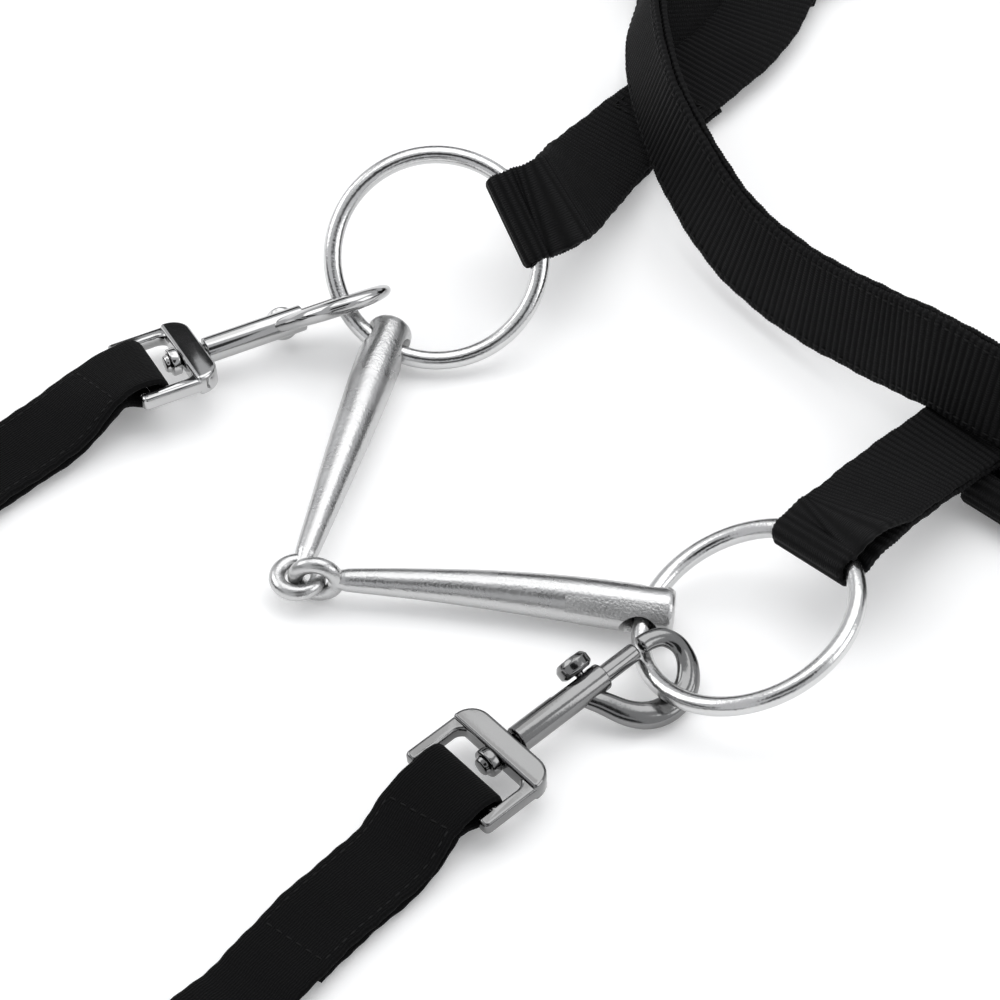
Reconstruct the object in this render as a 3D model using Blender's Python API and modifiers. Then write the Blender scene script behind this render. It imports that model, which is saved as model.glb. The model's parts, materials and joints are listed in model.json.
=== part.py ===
"""Bridle halter: a webbing headstall with a jointed loose-ring bit and two clipped-on reins.

The halter lies unfastened on a table, nose towards -Y and crown towards +Y, the horse's
near (left) side at +X. Units are metres, +Z is up and the table is z = 0. Places on the
table are written in millimetres through lay(), everything else in metres.
"""
import math

import bmesh
import bpy
from mathutils import Matrix, Vector

# ---------------------------------------------------------------- driving dimensions
ORIGIN_X = 9.4          # layout millimetres that become x = 0
ORIGIN_Y = 232.3        # layout millimetres that become y = 0
GAP = 0.0003            # air between pieces that touch

RING_MAJOR = 0.02525    # bit ring, centre line radius
RING_WIRE = 0.00225     # bit ring, wire radius
CANNON_LENGTH = 0.0755  # eye centre to ring hole
CANNON_THICK = 0.0056   # radius at the ring end
CANNON_THIN = 0.0028    # radius beside the eye
EYE_MAJOR = 0.0047
EYE_WIRE = 0.0019
HOLE_RADIUS = 0.0036
HOLE_MOUTH = 0.0044
HALF_SWING = math.radians(8)

BARREL_LENGTH = 0.0255
BARREL_RADIUS = 0.00325
BORE_RADIUS = 0.00245
BOLT_RADIUS = 0.00215
BOLT_TAIL = 0.0148
BOLT_TIP = 0.0356
KNOB_AT = 0.0213        # thumb knob's place along the barrel
OFF_EYE_AT = (0.0350, 0.0052)    # where each ring's wire crosses its hook, along and across
NEAR_EYE_AT = (0.0350, 0.0067)
YOKE_WIDTH = 0.0272
YOKE_BAR_AT = -0.0163
YOKE_BAR_RADIUS = 0.0018

WEB_WIDTH = 0.023       # headstall webbing
WEB_THICK = 0.0016
REIN_WIDTH = 0.020
REIN_THICK = 0.0015
PLY = 0.00100           # half the distance between two stacked plies

SQUARE_SIDE = 0.038
SQUARE_BAR = 0.0020     # half the bar's thickness
SQUARE_ROUND = 0.0027   # reach of the bar's rounded corners from its middle
HARDWARE_Z = 4.9        # layout height of a bar that a strap wraps, millimetres

COIL_INNER = 0.0430     # rolled rein, inside and outside radius
COIL_OUTER = 0.0660
COIL_BOTTOM = 0.0015


def lay(x, y, z):
    """A place on the table, in layout millimetres."""
    return Vector((x - ORIGIN_X, y - ORIGIN_Y, z)) / 1000.0


def unit(x, y, z):
    return Vector((x, y, z)).normalized()


# ---------------------------------------------------------------- scene helpers
def clear_scene():
    for old in list(bpy.data.objects):
        bpy.data.objects.remove(old, do_unlink=True)


def new_collection(name):
    collection = bpy.data.collections.new(name)
    bpy.context.scene.collection.children.link(collection)
    return collection


clear_scene()
PARTS = new_collection("head_halter")
CUTTERS = new_collection("cutters")


def finish(name, colour, roughness, metallic):
    """One Principled material for each piece."""
    material = bpy.data.materials.new(name)
    material.use_nodes = True
    shader = material.node_tree.nodes["Principled BSDF"]
    shader.inputs["Base Color"].default_value = (*colour, 1.0)
    shader.inputs["Roughness"].default_value = roughness
    shader.inputs["Metallic"].default_value = metallic
    return material


LOOKS = {
    "webbing": ((0.012, 0.012, 0.013), 0.85, 0.0),
    "rein": ((0.010, 0.010, 0.011), 0.95, 0.0),
    "bright": ((0.80, 0.80, 0.80), 0.16, 1.0),
    "snap": ((0.55, 0.55, 0.57), 0.14, 1.0),
    "steel": ((0.42, 0.43, 0.45), 0.30, 1.0),
}


def dress(obj, look):
    colour, roughness, metallic = LOOKS[look]
    obj.data.materials.clear()
    obj.data.materials.append(finish(obj.name, colour, roughness, metallic))
    return obj


def move_to(obj, collection):
    for owner in list(obj.users_collection):
        owner.objects.unlink(obj)
    collection.objects.link(obj)


def mesh_object(name, mesh):
    obj = bpy.data.objects.new(name, mesh)
    PARTS.objects.link(obj)
    return obj


def smooth(obj, angle=math.radians(40)):
    obj.data.shade_smooth()
    obj.data.set_sharp_from_angle(angle=angle)


def axes(origin, forward, side):
    """A frame with +X along forward and +Y as near to side as it can be."""
    x = forward.normalized()
    z = x.cross(side).normalized()
    y = z.cross(x)
    frame = Matrix((x, y, z)).transposed().to_4x4()
    frame.translation = origin
    return frame


def baked(obj):
    """The object's evaluated shape as a plain welded mesh, in place of its old data."""
    bpy.context.view_layer.update()
    graph = bpy.context.evaluated_depsgraph_get()
    mesh = bpy.data.meshes.new_from_object(obj.evaluated_get(graph))
    work = bmesh.new()
    work.from_mesh(mesh)
    bmesh.ops.remove_doubles(work, verts=work.verts, dist=0.00001)
    bmesh.ops.recalc_face_normals(work, faces=work.faces)
    work.to_mesh(mesh)
    work.free()
    result = bpy.data.objects.new(obj.name + "_mesh", mesh)
    result.matrix_world = obj.matrix_world.copy()
    owner = obj.users_collection[0]
    owner.objects.link(result)
    name = obj.name
    bpy.data.objects.remove(obj, do_unlink=True)
    result.name = name
    return result


def combine(target, tool, operation):
    """Boolean of target with tool; the tool is kept with the cutters."""
    move_to(tool, CUTTERS)
    tool.hide_render = True
    tool.display_type = "WIRE"
    modifier = target.modifiers.new(operation.lower() + "_" + tool.name, "BOOLEAN")
    modifier.operation = operation
    modifier.object = tool
    modifier.solver = "EXACT"


# ---------------------------------------------------------------- basic shapes
def box(name, size, centre, frame=Matrix(), bevel=0.0, segments=2):
    """A block in a frame, with rounded edges where bevel is given."""
    bpy.ops.mesh.primitive_cube_add(size=1.0)
    obj = bpy.context.object
    obj.name = name
    move_to(obj, PARTS)
    obj.data.transform(Matrix.Diagonal((*size, 1.0)))
    obj.data.transform(Matrix.Translation(centre))
    obj.matrix_world = frame
    if bevel:
        modifier = obj.modifiers.new("rounded", "BEVEL")
        modifier.width = bevel
        modifier.segments = segments
    return obj


def rod(name, radius, start, end, frame=Matrix(), sides=20, end_radius=None):
    """A round bar or cone between two points of a frame."""
    start, end = Vector(start), Vector(end)
    along = end - start
    bpy.ops.mesh.primitive_cone_add(
        vertices=sides, radius1=radius, radius2=radius if end_radius is None else end_radius,
        depth=along.length)
    obj = bpy.context.object
    obj.name = name
    move_to(obj, PARTS)
    turn = along.to_track_quat("Z", "Y").to_matrix().to_4x4()
    obj.data.transform(Matrix.Translation((start + end) / 2) @ turn)
    obj.matrix_world = frame
    return obj


def rounded_box(along, across, back, front, steps=4):
    """Outline of a box whose corners are rounded, more at its front than at its back."""
    outline = []
    corners = ((1, -1, front), (1, 1, front), (-1, 1, back), (-1, -1, back))
    for sign_x, sign_y, radius in corners:
        middle_x = (along[1] - radius) if sign_x > 0 else (along[0] + radius)
        middle_y = (across[1] - radius) if sign_y > 0 else (across[0] + radius)
        first = math.atan2(sign_y, sign_x) - math.pi / 4
        for k in range(steps + 1):
            angle = first + math.pi / 2 * k / steps
            outline.append((middle_x + radius * math.cos(angle),
                            middle_y + radius * math.sin(angle)))
    return outline


def plate(name, outline, tall, frame, bevel=0.0):
    """A flat plate of the given outline, lying in the frame's XY plane."""
    mesh = bpy.data.meshes.new(name)
    obj = mesh_object(name, mesh)
    work = bmesh.new()
    low, high = ([work.verts.new((x, y, z)) for x, y in outline] for z in (-tall / 2, tall / 2))
    work.faces.new(list(reversed(low)))
    work.faces.new(high)
    for a, b, c, d in zip(low, low[1:] + low[:1], high[1:] + high[:1], high):
        work.faces.new((a, b, c, d))
    work.to_mesh(mesh)
    work.free()
    obj.matrix_world = frame
    if bevel:
        modifier = obj.modifiers.new("rounded", "BEVEL")
        modifier.width = bevel
        modifier.segments = 2
        modifier.limit_method = "ANGLE"
        modifier.angle_limit = math.radians(35)
    return obj


def turned(name, profile, frame=Matrix(), sides=24):
    """A turned piece: profile is (along X, radius) pairs; the axis is the frame's X."""
    mesh = bpy.data.meshes.new(name)
    obj = mesh_object(name, mesh)
    work = bmesh.new()
    verts = [work.verts.new((x, r, 0.0)) for x, r in profile]
    for one, two in zip(verts, verts[1:]):
        work.edges.new((one, two))
    work.to_mesh(mesh)
    work.free()
    screw = obj.modifiers.new("turned", "SCREW")
    screw.axis = "X"
    screw.steps = screw.render_steps = sides
    screw.use_merge_vertices = True
    screw.merge_threshold = 0.00002
    screw.use_normal_calculate = True
    obj.matrix_world = frame
    return baked(obj)


def ring_shape(name, major, minor, frame, around=40, section=8):
    """A closed wire ring whose axis is the frame's Z."""
    bpy.ops.mesh.primitive_torus_add(
        major_radius=major, minor_radius=minor, major_segments=around, minor_segments=section)
    obj = bpy.context.object
    obj.name = name
    move_to(obj, PARTS)
    obj.matrix_world = frame
    smooth(obj)
    return obj


def tube(name, points, radii, frame=Matrix(), resolution=2):
    """A round wire or tapered rod through points, as a poly curve with closed ends."""
    curve = bpy.data.curves.new(name, "CURVE")
    curve.dimensions = "3D"
    curve.bevel_depth = 1.0
    curve.bevel_resolution = resolution
    curve.resolution_u = 1
    curve.render_resolution_u = 0
    curve.use_fill_caps = True
    spline = curve.splines.new("POLY")
    spline.points.add(len(points) - 1)
    for knot, point, radius in zip(spline.points, points, radii):
        knot.co = (*point, 1.0)
        knot.radius = radius
    obj = bpy.data.objects.new(name, curve)
    PARTS.objects.link(obj)
    obj.matrix_world = frame
    return baked(obj)


def smooth_line(points, per_span):
    """Catmull-Rom points through the given ones."""
    points = [Vector(p) for p in points]
    padded = [2 * points[0] - points[1], *points, 2 * points[-1] - points[-2]]
    line = []
    for a, b, c, d in zip(padded, padded[1:], padded[2:], padded[3:]):
        for step in range(per_span):
            t = step / per_span
            line.append(0.5 * (2 * b + (c - a) * t + (2 * a - 5 * b + 4 * c - d) * t * t
                               + (3 * b - a - 3 * c + d) * t ** 3))
    line.append(points[-1])
    return line


# ---------------------------------------------------------------- webbing
class Route:
    """The middle line of a strap: where it runs and which way its width lies."""

    def __init__(self, knots, start=0):
        """start is the knot whose place along the route counts as 0."""
        per_span = 8
        self.points = smooth_line([k[0] for k in knots], per_span)
        self.widths = [w.normalized() for w in smooth_line([k[1] for k in knots], per_span)]
        self.places = [0.0]
        for one, two in zip(self.points, self.points[1:]):
            self.places.append(self.places[-1] + (two - one).length)
        shift = self.places[start * per_span]
        self.places = [place - shift for place in self.places]
        self.first, self.length = self.places[0], self.places[-1]

    def at(self, place, height=0.0):
        """Point and width direction at a distance along the route, lifted off its middle."""
        index = 0
        while index < len(self.places) - 2 and self.places[index + 1] < place:
            index += 1
        one, two = self.points[index], self.points[index + 1]
        share = (place - self.places[index]) / (self.places[index + 1] - self.places[index])
        run = (two - one).normalized()
        inside = min(max(share, 0.0), 1.0)
        width = self.widths[index].lerp(self.widths[index + 1], inside)
        width = (width - run * width.dot(run)).normalized()
        return one + (two - one) * share + width.cross(run) * height, width


def ease(t):
    t = min(max(t, 0.0), 1.0)
    return t * t * (3 - 2 * t)


def fold_profile(bar, thick, tail, main, reach=0.0, lead=0.012, ply=PLY):
    """Side view of a strap end folded round a bar at place 0: (place, height) pairs.

    It runs from the end of the short tail, below, round the bar and out to main, above.
    reach is how far before the bar the fold lies, for a bar that curves.
    """
    radius = bar + GAP + thick / 2
    away = [lead * step / 4 for step in range(4, -1, -1)]
    below = [(place, -(ply + (radius - ply) * (1 - ease(place / lead)))) for place in away]
    arc = [(-reach - radius * math.sin(math.pi * k / 8), -radius * math.cos(math.pi * k / 8))
           for k in range(9)]
    above = [(place, -height) for place, height in reversed(below)]
    if reach == 0.0:
        below, above = below[:-1], above[1:]
    start = [(tail, -ply), ((tail + lead) / 2, -ply)]
    return start + below + arc + above + [(main, ply)]


def even_profile(profile, step=0.008):
    """The same side view with its long stretches divided."""
    dense = [profile[0]]
    for (s0, h0), (s1, h1) in zip(profile, profile[1:]):
        count = max(1, round(abs(s1 - s0) / step))
        for k in range(1, count + 1):
            t = k / count
            dense.append((s0 + (s1 - s0) * t, h0 + (h1 - h0) * t))
    return dense


def both_ends(route, bar, thick, tail, ply=PLY):
    """Side view of a strap folded round a bar at each end of its route."""
    half = route.length / 2
    near = fold_profile(bar, thick, tail, half, ply=ply)
    far = [(route.length - place, height) for place, height in reversed(near)]
    return near + far[1:]


def strap(name, route, profile, width, thick, look):
    """Webbing along a route: an open strip given its thickness."""
    mesh = bpy.data.meshes.new(name)
    obj = mesh_object(name, mesh)
    work = bmesh.new()
    rows = []
    for place, height in profile:
        point, across = route.at(place, height)
        rows.append([work.verts.new(point + across * side * width / 2) for side in (-1, 1)])
    for (a, b), (c, d) in zip(rows, rows[1:]):
        work.faces.new((a, b, d, c))
    bmesh.ops.recalc_face_normals(work, faces=work.faces)
    work.to_mesh(mesh)
    work.free()
    solid = obj.modifiers.new("thickness", "SOLIDIFY")
    solid.thickness = thick
    solid.offset = 0.0
    smooth(obj)
    return dress(obj, look)


X, Y, Z = Vector((1, 0, 0)), Vector((0, 1, 0)), Vector((0, 0, 1))


# ---------------------------------------------------------------- the bit
class RingPlace:
    """Where a bit ring lies: its centre, its axis and points on its wire."""

    def __init__(self, centre, normal, level):
        """level is the direction of 0 degrees; the degrees then turn downhill."""
        self.centre = centre
        self.normal = normal
        self.level = level
        self.down = normal.cross(level)
        if self.down.z > 0:
            self.down = -self.down

    def outward(self, degrees):
        turn = math.radians(degrees)
        return self.level * math.cos(turn) + self.down * math.sin(turn)

    def wire(self, degrees):
        return self.centre + self.outward(degrees) * RING_MAJOR

    def tangent(self, degrees):
        return self.outward(degrees + 90)

    def frame(self):
        return axes(self.centre, self.level, self.down)


OFF_RING = RingPlace(lay(-60.7, 41.7, 19.3), unit(0.415, -0.438, 0.797),
                     unit(0.438, 0.415, 0.0))
NEAR_RING = RingPlace(lay(65.1, 7.4, 14.6), unit(-0.285, -0.222, 0.932),
                      unit(0.222, -0.285, 0.0))
OFF_HOLE, NEAR_HOLE = 121.0, 107.0          # degrees round each ring
OFF_HOOK, NEAR_HOOK = 154.0, 60.6
OFF_HANGER, NEAR_HANGER = -24.0, 226.0
EYE_STEP = Vector((0.0040, 0.0020, 0.0008))   # from the off eye's centre to the near one's


def make_rings():
    for name, place in (("bit_ring_off", OFF_RING), ("bit_ring_near", NEAR_RING)):
        dress(ring_shape(name, RING_MAJOR, RING_WIRE, place.frame()), "bright")


def joint_centre():
    """The off eye's centre, where both cannons come out at the same length."""
    one = OFF_RING.wire(OFF_HOLE)
    two = NEAR_RING.wire(NEAR_HOLE) - EYE_STEP
    middle, half = (one + two) / 2, (two - one) / 2
    flat = Vector((half.x, half.y, 0.0))
    back = Vector((flat.y, -flat.x, 0.0)).normalized()
    height = math.sqrt(CANNON_LENGTH ** 2 - flat.length ** 2)
    centre = middle + back * height
    return Vector((centre.x, centre.y, 0.0058))


EYE_OFF = joint_centre()
EYE_NEAR = EYE_OFF + EYE_STEP
SWING_AXIS = (NEAR_RING.wire(NEAR_HOLE) - OFF_RING.wire(OFF_HOLE)).normalized()


def make_cannon(name, eye, hole, wire_along, eye_normal, bow):
    """One half of the mouthpiece: a tapered bar with an eye at one end and a ring hole."""
    along = (hole - eye).normalized()
    frame = axes(hole, along, Z.cross(along))
    reach = (hole - eye).length
    stops = ((0.0030, 0.0019), (0.0060, 0.0024), (0.0090, CANNON_THIN), (0.0250, 0.0037),
             (0.0430, 0.0047), (0.0600, 0.0054), (reach - 0.006, CANNON_THICK),
             (reach + 0.0045, CANNON_THICK), (reach + 0.0062, CANNON_THICK * 0.86))
    points = [(s - reach, bow * math.sin(math.pi * min(s / reach, 1.0)), 0.0) for s, _ in stops]
    bar = tube(name, points, [r for _, r in stops], frame, resolution=3)
    eye_frame = axes(eye, along, eye_normal.cross(along))
    loop = ring_shape(name + "_eye", EYE_MAJOR, EYE_WIRE, eye_frame, around=24, section=8)
    combine(bar, loop, "UNION")
    drill = rod(name + "_drill", HOLE_RADIUS, hole - wire_along * 0.012,
                hole + wire_along * 0.012, sides=20)
    combine(bar, drill, "DIFFERENCE")
    for sign in (-1, 1):
        mouth = rod(name + f"_mouth{sign}", HOLE_RADIUS - 0.0002,
                    hole + wire_along * sign * 0.0022, hole + wire_along * sign * 0.0066,
                    sides=20, end_radius=HOLE_MOUTH + 0.0004)
        combine(bar, mouth, "DIFFERENCE")
    smooth(bar)
    return dress(bar, "bright")


def make_bit():
    make_rings()
    turn = Matrix.Rotation(HALF_SWING, 3, SWING_AXIS)
    make_cannon("cannon_off", EYE_OFF, OFF_RING.wire(OFF_HOLE),
                turn @ OFF_RING.tangent(OFF_HOLE), Z, 0.0)
    level = (NEAR_RING.wire(NEAR_HOLE) - EYE_NEAR).cross(Z).normalized()
    make_cannon("cannon_near", EYE_NEAR, NEAR_RING.wire(NEAR_HOLE),
                turn @ NEAR_RING.tangent(NEAR_HOLE), level, 0.0016)


# ---------------------------------------------------------------- the swivel snaps
def snap_frame(ring, degrees, eye_at, forward, bulge):
    """A snap's own frame: +X along its barrel from the swivel, +Y towards its hook."""
    turned_frame = axes(Vector(), forward, bulge)
    eye = turned_frame.to_3x3() @ Vector((*eye_at, 0.0))
    turned_frame.translation = ring.wire(degrees) - eye
    return turned_frame


OFF_SNAP = snap_frame(OFF_RING, OFF_HOOK, OFF_EYE_AT, unit(0.385, 0.9227, 0.02),
                      unit(0.62, -0.35, 0.70))
NEAR_SNAP = snap_frame(NEAR_RING, NEAR_HOOK, NEAR_EYE_AT, unit(0.1105, 0.992, 0.06),
                       unit(0.93, -0.1, -0.51))


HOOK_DEPTH = 0.72       # the hook's depth for its width


def make_hook(name, frame):
    """Barrel and hook, cast in one: the bolt runs in the barrel's bore."""
    end, r = BARREL_LENGTH, BARREL_RADIUS
    profile = ((0.0, 0.0), (0.0, r - 0.0004), (0.0004, r), (end - 0.0004, r),
               (end, r - 0.0004), (end, 0.0))
    barrel = turned(name, profile, frame)
    route = smooth_line([(0.0185, 0.0008, 0), (0.0215, 0.0046, 0), (0.0250, 0.0100, 0),
                         (0.0292, 0.0134, 0), (0.0345, 0.0145, 0), (0.0399, 0.0132, 0),
                         (0.0436, 0.0094, 0), (0.0447, 0.0050, 0), (0.0430, 0.0014, 0),
                         (0.0398, 0.0000, 0), (0.0366, -0.0002, 0)], 3)
    count = len(route) - 1
    radii = [0.0022 + 0.0011 * math.sin(math.pi * min(1.0, 1.5 * k / count))
             for k in range(count + 1)]
    hook = tube(name + "_bend", route, radii, frame, resolution=2)
    hook.data.transform(Matrix.Diagonal((1.0, 1.0, HOOK_DEPTH, 1.0)))
    combine(barrel, hook, "UNION")
    bore = rod(name + "_bore", BORE_RADIUS, (0.0032, 0, 0), (end + 0.004, 0, 0), frame, sides=24)
    combine(barrel, bore, "DIFFERENCE")
    slot = box(name + "_slot", (0.0106, 0.0040, 0.0026), (KNOB_AT - 0.0038, -0.0035, 0), frame)
    combine(barrel, slot, "DIFFERENCE")
    socket = rod(name + "_socket", 0.0018, (-0.001, 0, 0), (0.0021, 0, 0), frame, sides=16)
    combine(barrel, socket, "DIFFERENCE")
    smooth(barrel)
    dress(barrel, "snap")


def make_bolt(side, frame):
    """Sliding bolt with its thumb knob, and the spring behind it."""
    r = BOLT_RADIUS
    profile = ((BOLT_TAIL, 0.0), (BOLT_TAIL, r - 0.0003), (BOLT_TAIL + 0.0003, r),
               (BOLT_TIP - 0.0010, r), (BOLT_TIP - 0.0003, r * 0.8), (BOLT_TIP, 0.0))
    bolt = turned("snap_bolt_" + side, profile, frame)
    hole = rod("snap_bolt_hole_" + side, 0.0013, (KNOB_AT, -0.003, 0), (KNOB_AT, -0.0002, 0),
               frame, sides=14)
    combine(bolt, hole, "DIFFERENCE")
    smooth(bolt)
    dress(bolt, "snap")

    upright = frame @ axes(Vector((KNOB_AT, 0, 0)), -Y, X)
    profile = ((0.0005, 0.0), (0.0005, 0.0010), (0.0036, 0.0010), (0.0037, 0.0032),
               (0.0044, 0.0041), (0.0064, 0.0041), (0.0075, 0.0032), (0.0077, 0.0))
    knob = turned("snap_knob_" + side, profile, upright, sides=20)
    smooth(knob)
    dress(knob, "snap")

    turns, steps = 6, 8
    first, last = 0.0037, BOLT_TAIL - 0.0004
    helix = []
    for k in range(turns * steps + 1):
        turn = 2 * math.pi * k / steps
        along = first + (last - first) * k / (turns * steps)
        helix.append((along, 0.0017 * math.cos(turn), 0.0017 * math.sin(turn)))
    spring = tube("snap_spring_" + side, helix, [0.00027] * len(helix), frame, resolution=0)
    dress(spring, "steel")


def make_yoke(side, frame):
    """The strap loop that the snap swivels on: a U with its strap bar."""
    depth, arm, tall = 0.0202, 0.0032, 0.0052
    front, band = -0.0005, 0.0062
    half = YOKE_WIDTH / 2
    yoke = plate("snap_yoke_" + side, rounded_box((front - depth, front), (-half, half),
                                                  0.0013, 0.0052), tall, frame, bevel=0.0008)
    inner = plate("snap_yoke_gap_" + side, rounded_box((front - depth * 2, front - band),
                                                       (arm - half, half - arm),
                                                       0.0005, 0.0024), tall * 2, frame)
    combine(yoke, inner, "DIFFERENCE")
    bar = rod("snap_yoke_bar_" + side, YOKE_BAR_RADIUS, (YOKE_BAR_AT, -YOKE_WIDTH / 2 + 0.001, 0),
              (YOKE_BAR_AT, YOKE_WIDTH / 2 - 0.001, 0), frame, sides=16)
    combine(yoke, bar, "UNION")
    hole = rod("snap_yoke_hole_" + side, 0.0018, (-0.009, 0, 0), (0.002, 0, 0), frame, sides=16)
    combine(yoke, hole, "DIFFERENCE")
    smooth(yoke)
    dress(yoke, "snap")


def make_rivet(side, frame):
    """The peened stud that holds the barrel on the yoke."""
    profile = ((-0.0106, 0.0), (-0.0106, 0.0020), (-0.0094, 0.0023), (-0.0093, 0.0034),
               (-0.0071, 0.0034), (-0.0070, 0.0014), (0.0018, 0.0014), (0.0018, 0.0))
    rivet = turned("snap_rivet_" + side, profile, frame, sides=20)
    smooth(rivet)
    dress(rivet, "snap")


def yoke_frame(snap, roll):
    """The yoke shares the barrel's axis, level across but for its roll."""
    forward = snap.to_3x3() @ X
    level = axes(snap.translation, forward, Z.cross(forward))
    return level @ Matrix.Rotation(roll, 4, "X")


OFF_YOKE = yoke_frame(OFF_SNAP, math.radians(-12))
NEAR_YOKE = yoke_frame(NEAR_SNAP, 0.0)


def make_snaps():
    for side, frame, yoke in (("off", OFF_SNAP, OFF_YOKE), ("near", NEAR_SNAP, NEAR_YOKE)):
        make_hook("snap_hook_" + side, frame)
        make_bolt(side, frame)
        make_yoke(side, yoke)
        make_rivet(side, frame)


# ---------------------------------------------------------------- the reins
def rein_route(yoke, knots):
    """From the yoke's strap bar down to the table and on to the rolled length."""
    bar = yoke @ Vector((YOKE_BAR_AT, 0, 0))
    run = -(yoke.to_3x3() @ X)
    across = yoke.to_3x3() @ Y
    across = across if across.x < 0 else -across
    lead = [(bar - run * 0.006, across), (bar, across), (bar + run * 0.010, across)]
    return Route(lead + knots, start=1)


OFF_REIN = rein_route(OFF_YOKE, [
    (lay(-98.8, -52, 4.6), -X), (lay(-101, -72, 3.0), -X), (lay(-101, -92, 2.9), -X),
    (lay(-101, -112, 9.2), unit(-0.7, 0, 0.7)), (lay(-101, -130, 11.7), Z)])
NEAR_REIN = rein_route(NEAR_YOKE, [
    (lay(45.6, -88, 3.0), -X), (lay(45.4, -110, 2.8), -X), (lay(47.0, -135, 2.7), -X),
    (lay(48.6, -165, 7.6), unit(-0.85, 0, 0.5)), (lay(49, -185, 11.0), unit(-0.3, 0, 0.95)),
    (lay(49, -205, 11.7), Z)])
COILS = {"off": lay(-166, -148, 0), "near": lay(114, -223, 0)}


def make_rein(side, route):
    profile = even_profile(fold_profile(YOKE_BAR_RADIUS, REIN_THICK, 0.056, 0.058, ply=0.00095))
    settle = [(0.058 + 0.004 * k, 0.00095 * (1 - ease(k / 4))) for k in range(1, 5)]
    rest = even_profile([(0.074, 0.0), (route.length, 0.0)])[1:]
    strap("rein_strap_" + side, route, profile + settle + rest, REIN_WIDTH, REIN_THICK, "rein")

    low, high = COIL_BOTTOM, COIL_BOTTOM + REIN_WIDTH
    frame = Matrix.Translation(COILS[side]) @ Matrix.Rotation(-math.pi / 2, 4, "Y")
    profile = ((low, COIL_INNER), (low, COIL_OUTER), (high, COIL_OUTER), (high, COIL_INNER),
               (low, COIL_INNER))
    coil = turned("rein_coil_" + side, profile, frame, sides=40)
    smooth(coil)
    dress(coil, "rein")

    wall, room = 0.0009, 0.0005
    inside = COIL_INNER - 0.0008
    width = COIL_OUTER - inside + room
    place = Matrix.Translation(COILS[side]) @ Matrix.Rotation(math.radians(-70), 4, "Z")
    middle = Vector((inside + width / 2, 0, (low + high) / 2))
    height = high - low + 2 * room
    tie = box("rein_tie_" + side, (width + 2 * wall, 0.012, height + 2 * wall), middle, place)
    hollow = box("rein_tie_room_" + side, (width, 0.03, height), middle, place)
    combine(tie, hollow, "DIFFERENCE")
    dress(tie, "webbing")


# ---------------------------------------------------------------- headstall hardware
def make_square(name, centre):
    """A square ring of square bar that four straps can meet on."""
    frame = Matrix.Translation(centre)
    side, bar = SQUARE_SIDE, 2 * SQUARE_BAR
    square = box(name, (side, side, bar), (0, 0, 0), frame, bevel=0.0009)
    hole = box(name + "_hole", (side - 2 * bar, side - 2 * bar, bar * 3), (0, 0, 0), frame)
    combine(square, hole, "DIFFERENCE")
    smooth(square)
    dress(square, "steel")


SLIDE_BAR = 0.0012      # half the thickness of a slide's bars
SLIDE_SLOT = 0.0054


def make_slide(name, frame):
    """A three-bar slide: +X of its frame is across the strap, +Y along it."""
    bar = 0.0032
    long = 3 * bar + 2 * SLIDE_SLOT
    wide = WEB_WIDTH + 0.008
    slide = box(name, (wide, long, 2 * SLIDE_BAR), (0, 0, 0), frame, bevel=0.0006)
    for sign in (-1, 1):
        slot = box(f"{name}_slot{sign}", (wide - 0.0060, SLIDE_SLOT, 0.01),
                   (0, sign * (bar + SLIDE_SLOT) / 2, 0), frame)
        combine(slide, slot, "DIFFERENCE")
    smooth(slide)
    dress(slide, "steel")


OFF_NOSE, NEAR_NOSE = lay(-76, 229, HARDWARE_Z), lay(71, 190, HARDWARE_Z)
OFF_TEMPLE, NEAR_TEMPLE = lay(-76, 346, HARDWARE_Z), lay(71, 318, HARDWARE_Z)
BAR_OUT = SQUARE_SIDE / 2 - SQUARE_BAR      # a square's centre to the middle of its bar
SQUARE_TAIL = 0.034


def make_squares():
    make_square("nose_square_off", OFF_NOSE)
    make_square("nose_square_near", NEAR_NOSE)
    make_square("temple_square_off", OFF_TEMPLE)
    make_square("temple_square_near", NEAR_TEMPLE)


# ---------------------------------------------------------------- headstall straps
def hanger_route(ring, degrees, knots, square):
    """From the bit ring's wire to the nose square's front bar."""
    start, outward, across = ring.wire(degrees), ring.outward(degrees), ring.tangent(degrees)
    across = across if across.x > 0 else -across
    bar = square - Y * BAR_OUT
    return Route([(start - outward * 0.009, across), (start, across),
                  (start + outward * 0.008, across), *knots,
                  (bar - Y * 0.016, X), (bar - Y * 0.008, X), (bar, X)], start=1)


def make_hangers():
    reach = RING_MAJOR - math.sqrt(RING_MAJOR ** 2 - (WEB_WIDTH / 2) ** 2)
    routes = {
        "off": hanger_route(OFF_RING, OFF_HANGER, [
            (lay(-60.0, 97.9, 10.5), unit(0.95, 0.10, -0.22)),
            (lay(-65.3, 124.3, 4.9), unit(0.98, 0.15, -0.04)),
            (lay(-67.1, 167.6, 4.0), unit(1, 0.1, 0))], OFF_NOSE),
        "near": hanger_route(NEAR_RING, NEAR_HANGER, [
            (lay(65.2, 65.4, 14.0), unit(0.99, 0, 0.08)),
            (lay(66.8, 95.6, 10.0), X),
            (lay(69.5, 130, 5.4), X)], NEAR_NOSE),
    }
    for side, route in routes.items():
        front = fold_profile(RING_WIRE, WEB_THICK, 0.092, route.length / 2, reach=reach,
                             lead=0.016)
        back = fold_profile(SQUARE_ROUND, WEB_THICK, 0.024, route.length / 2)
        back = [(route.length - place, height) for place, height in reversed(back)]
        profile = even_profile(front + back[1:])
        strap("bit_hanger_" + side, route, profile, WEB_WIDTH, WEB_THICK, "webbing")


def edge(x, y, low):
    """A knot of a strap that stands on edge, from the height of its lower edge."""
    return lay(x, y, low + WEB_WIDTH * 500), Z


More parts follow.
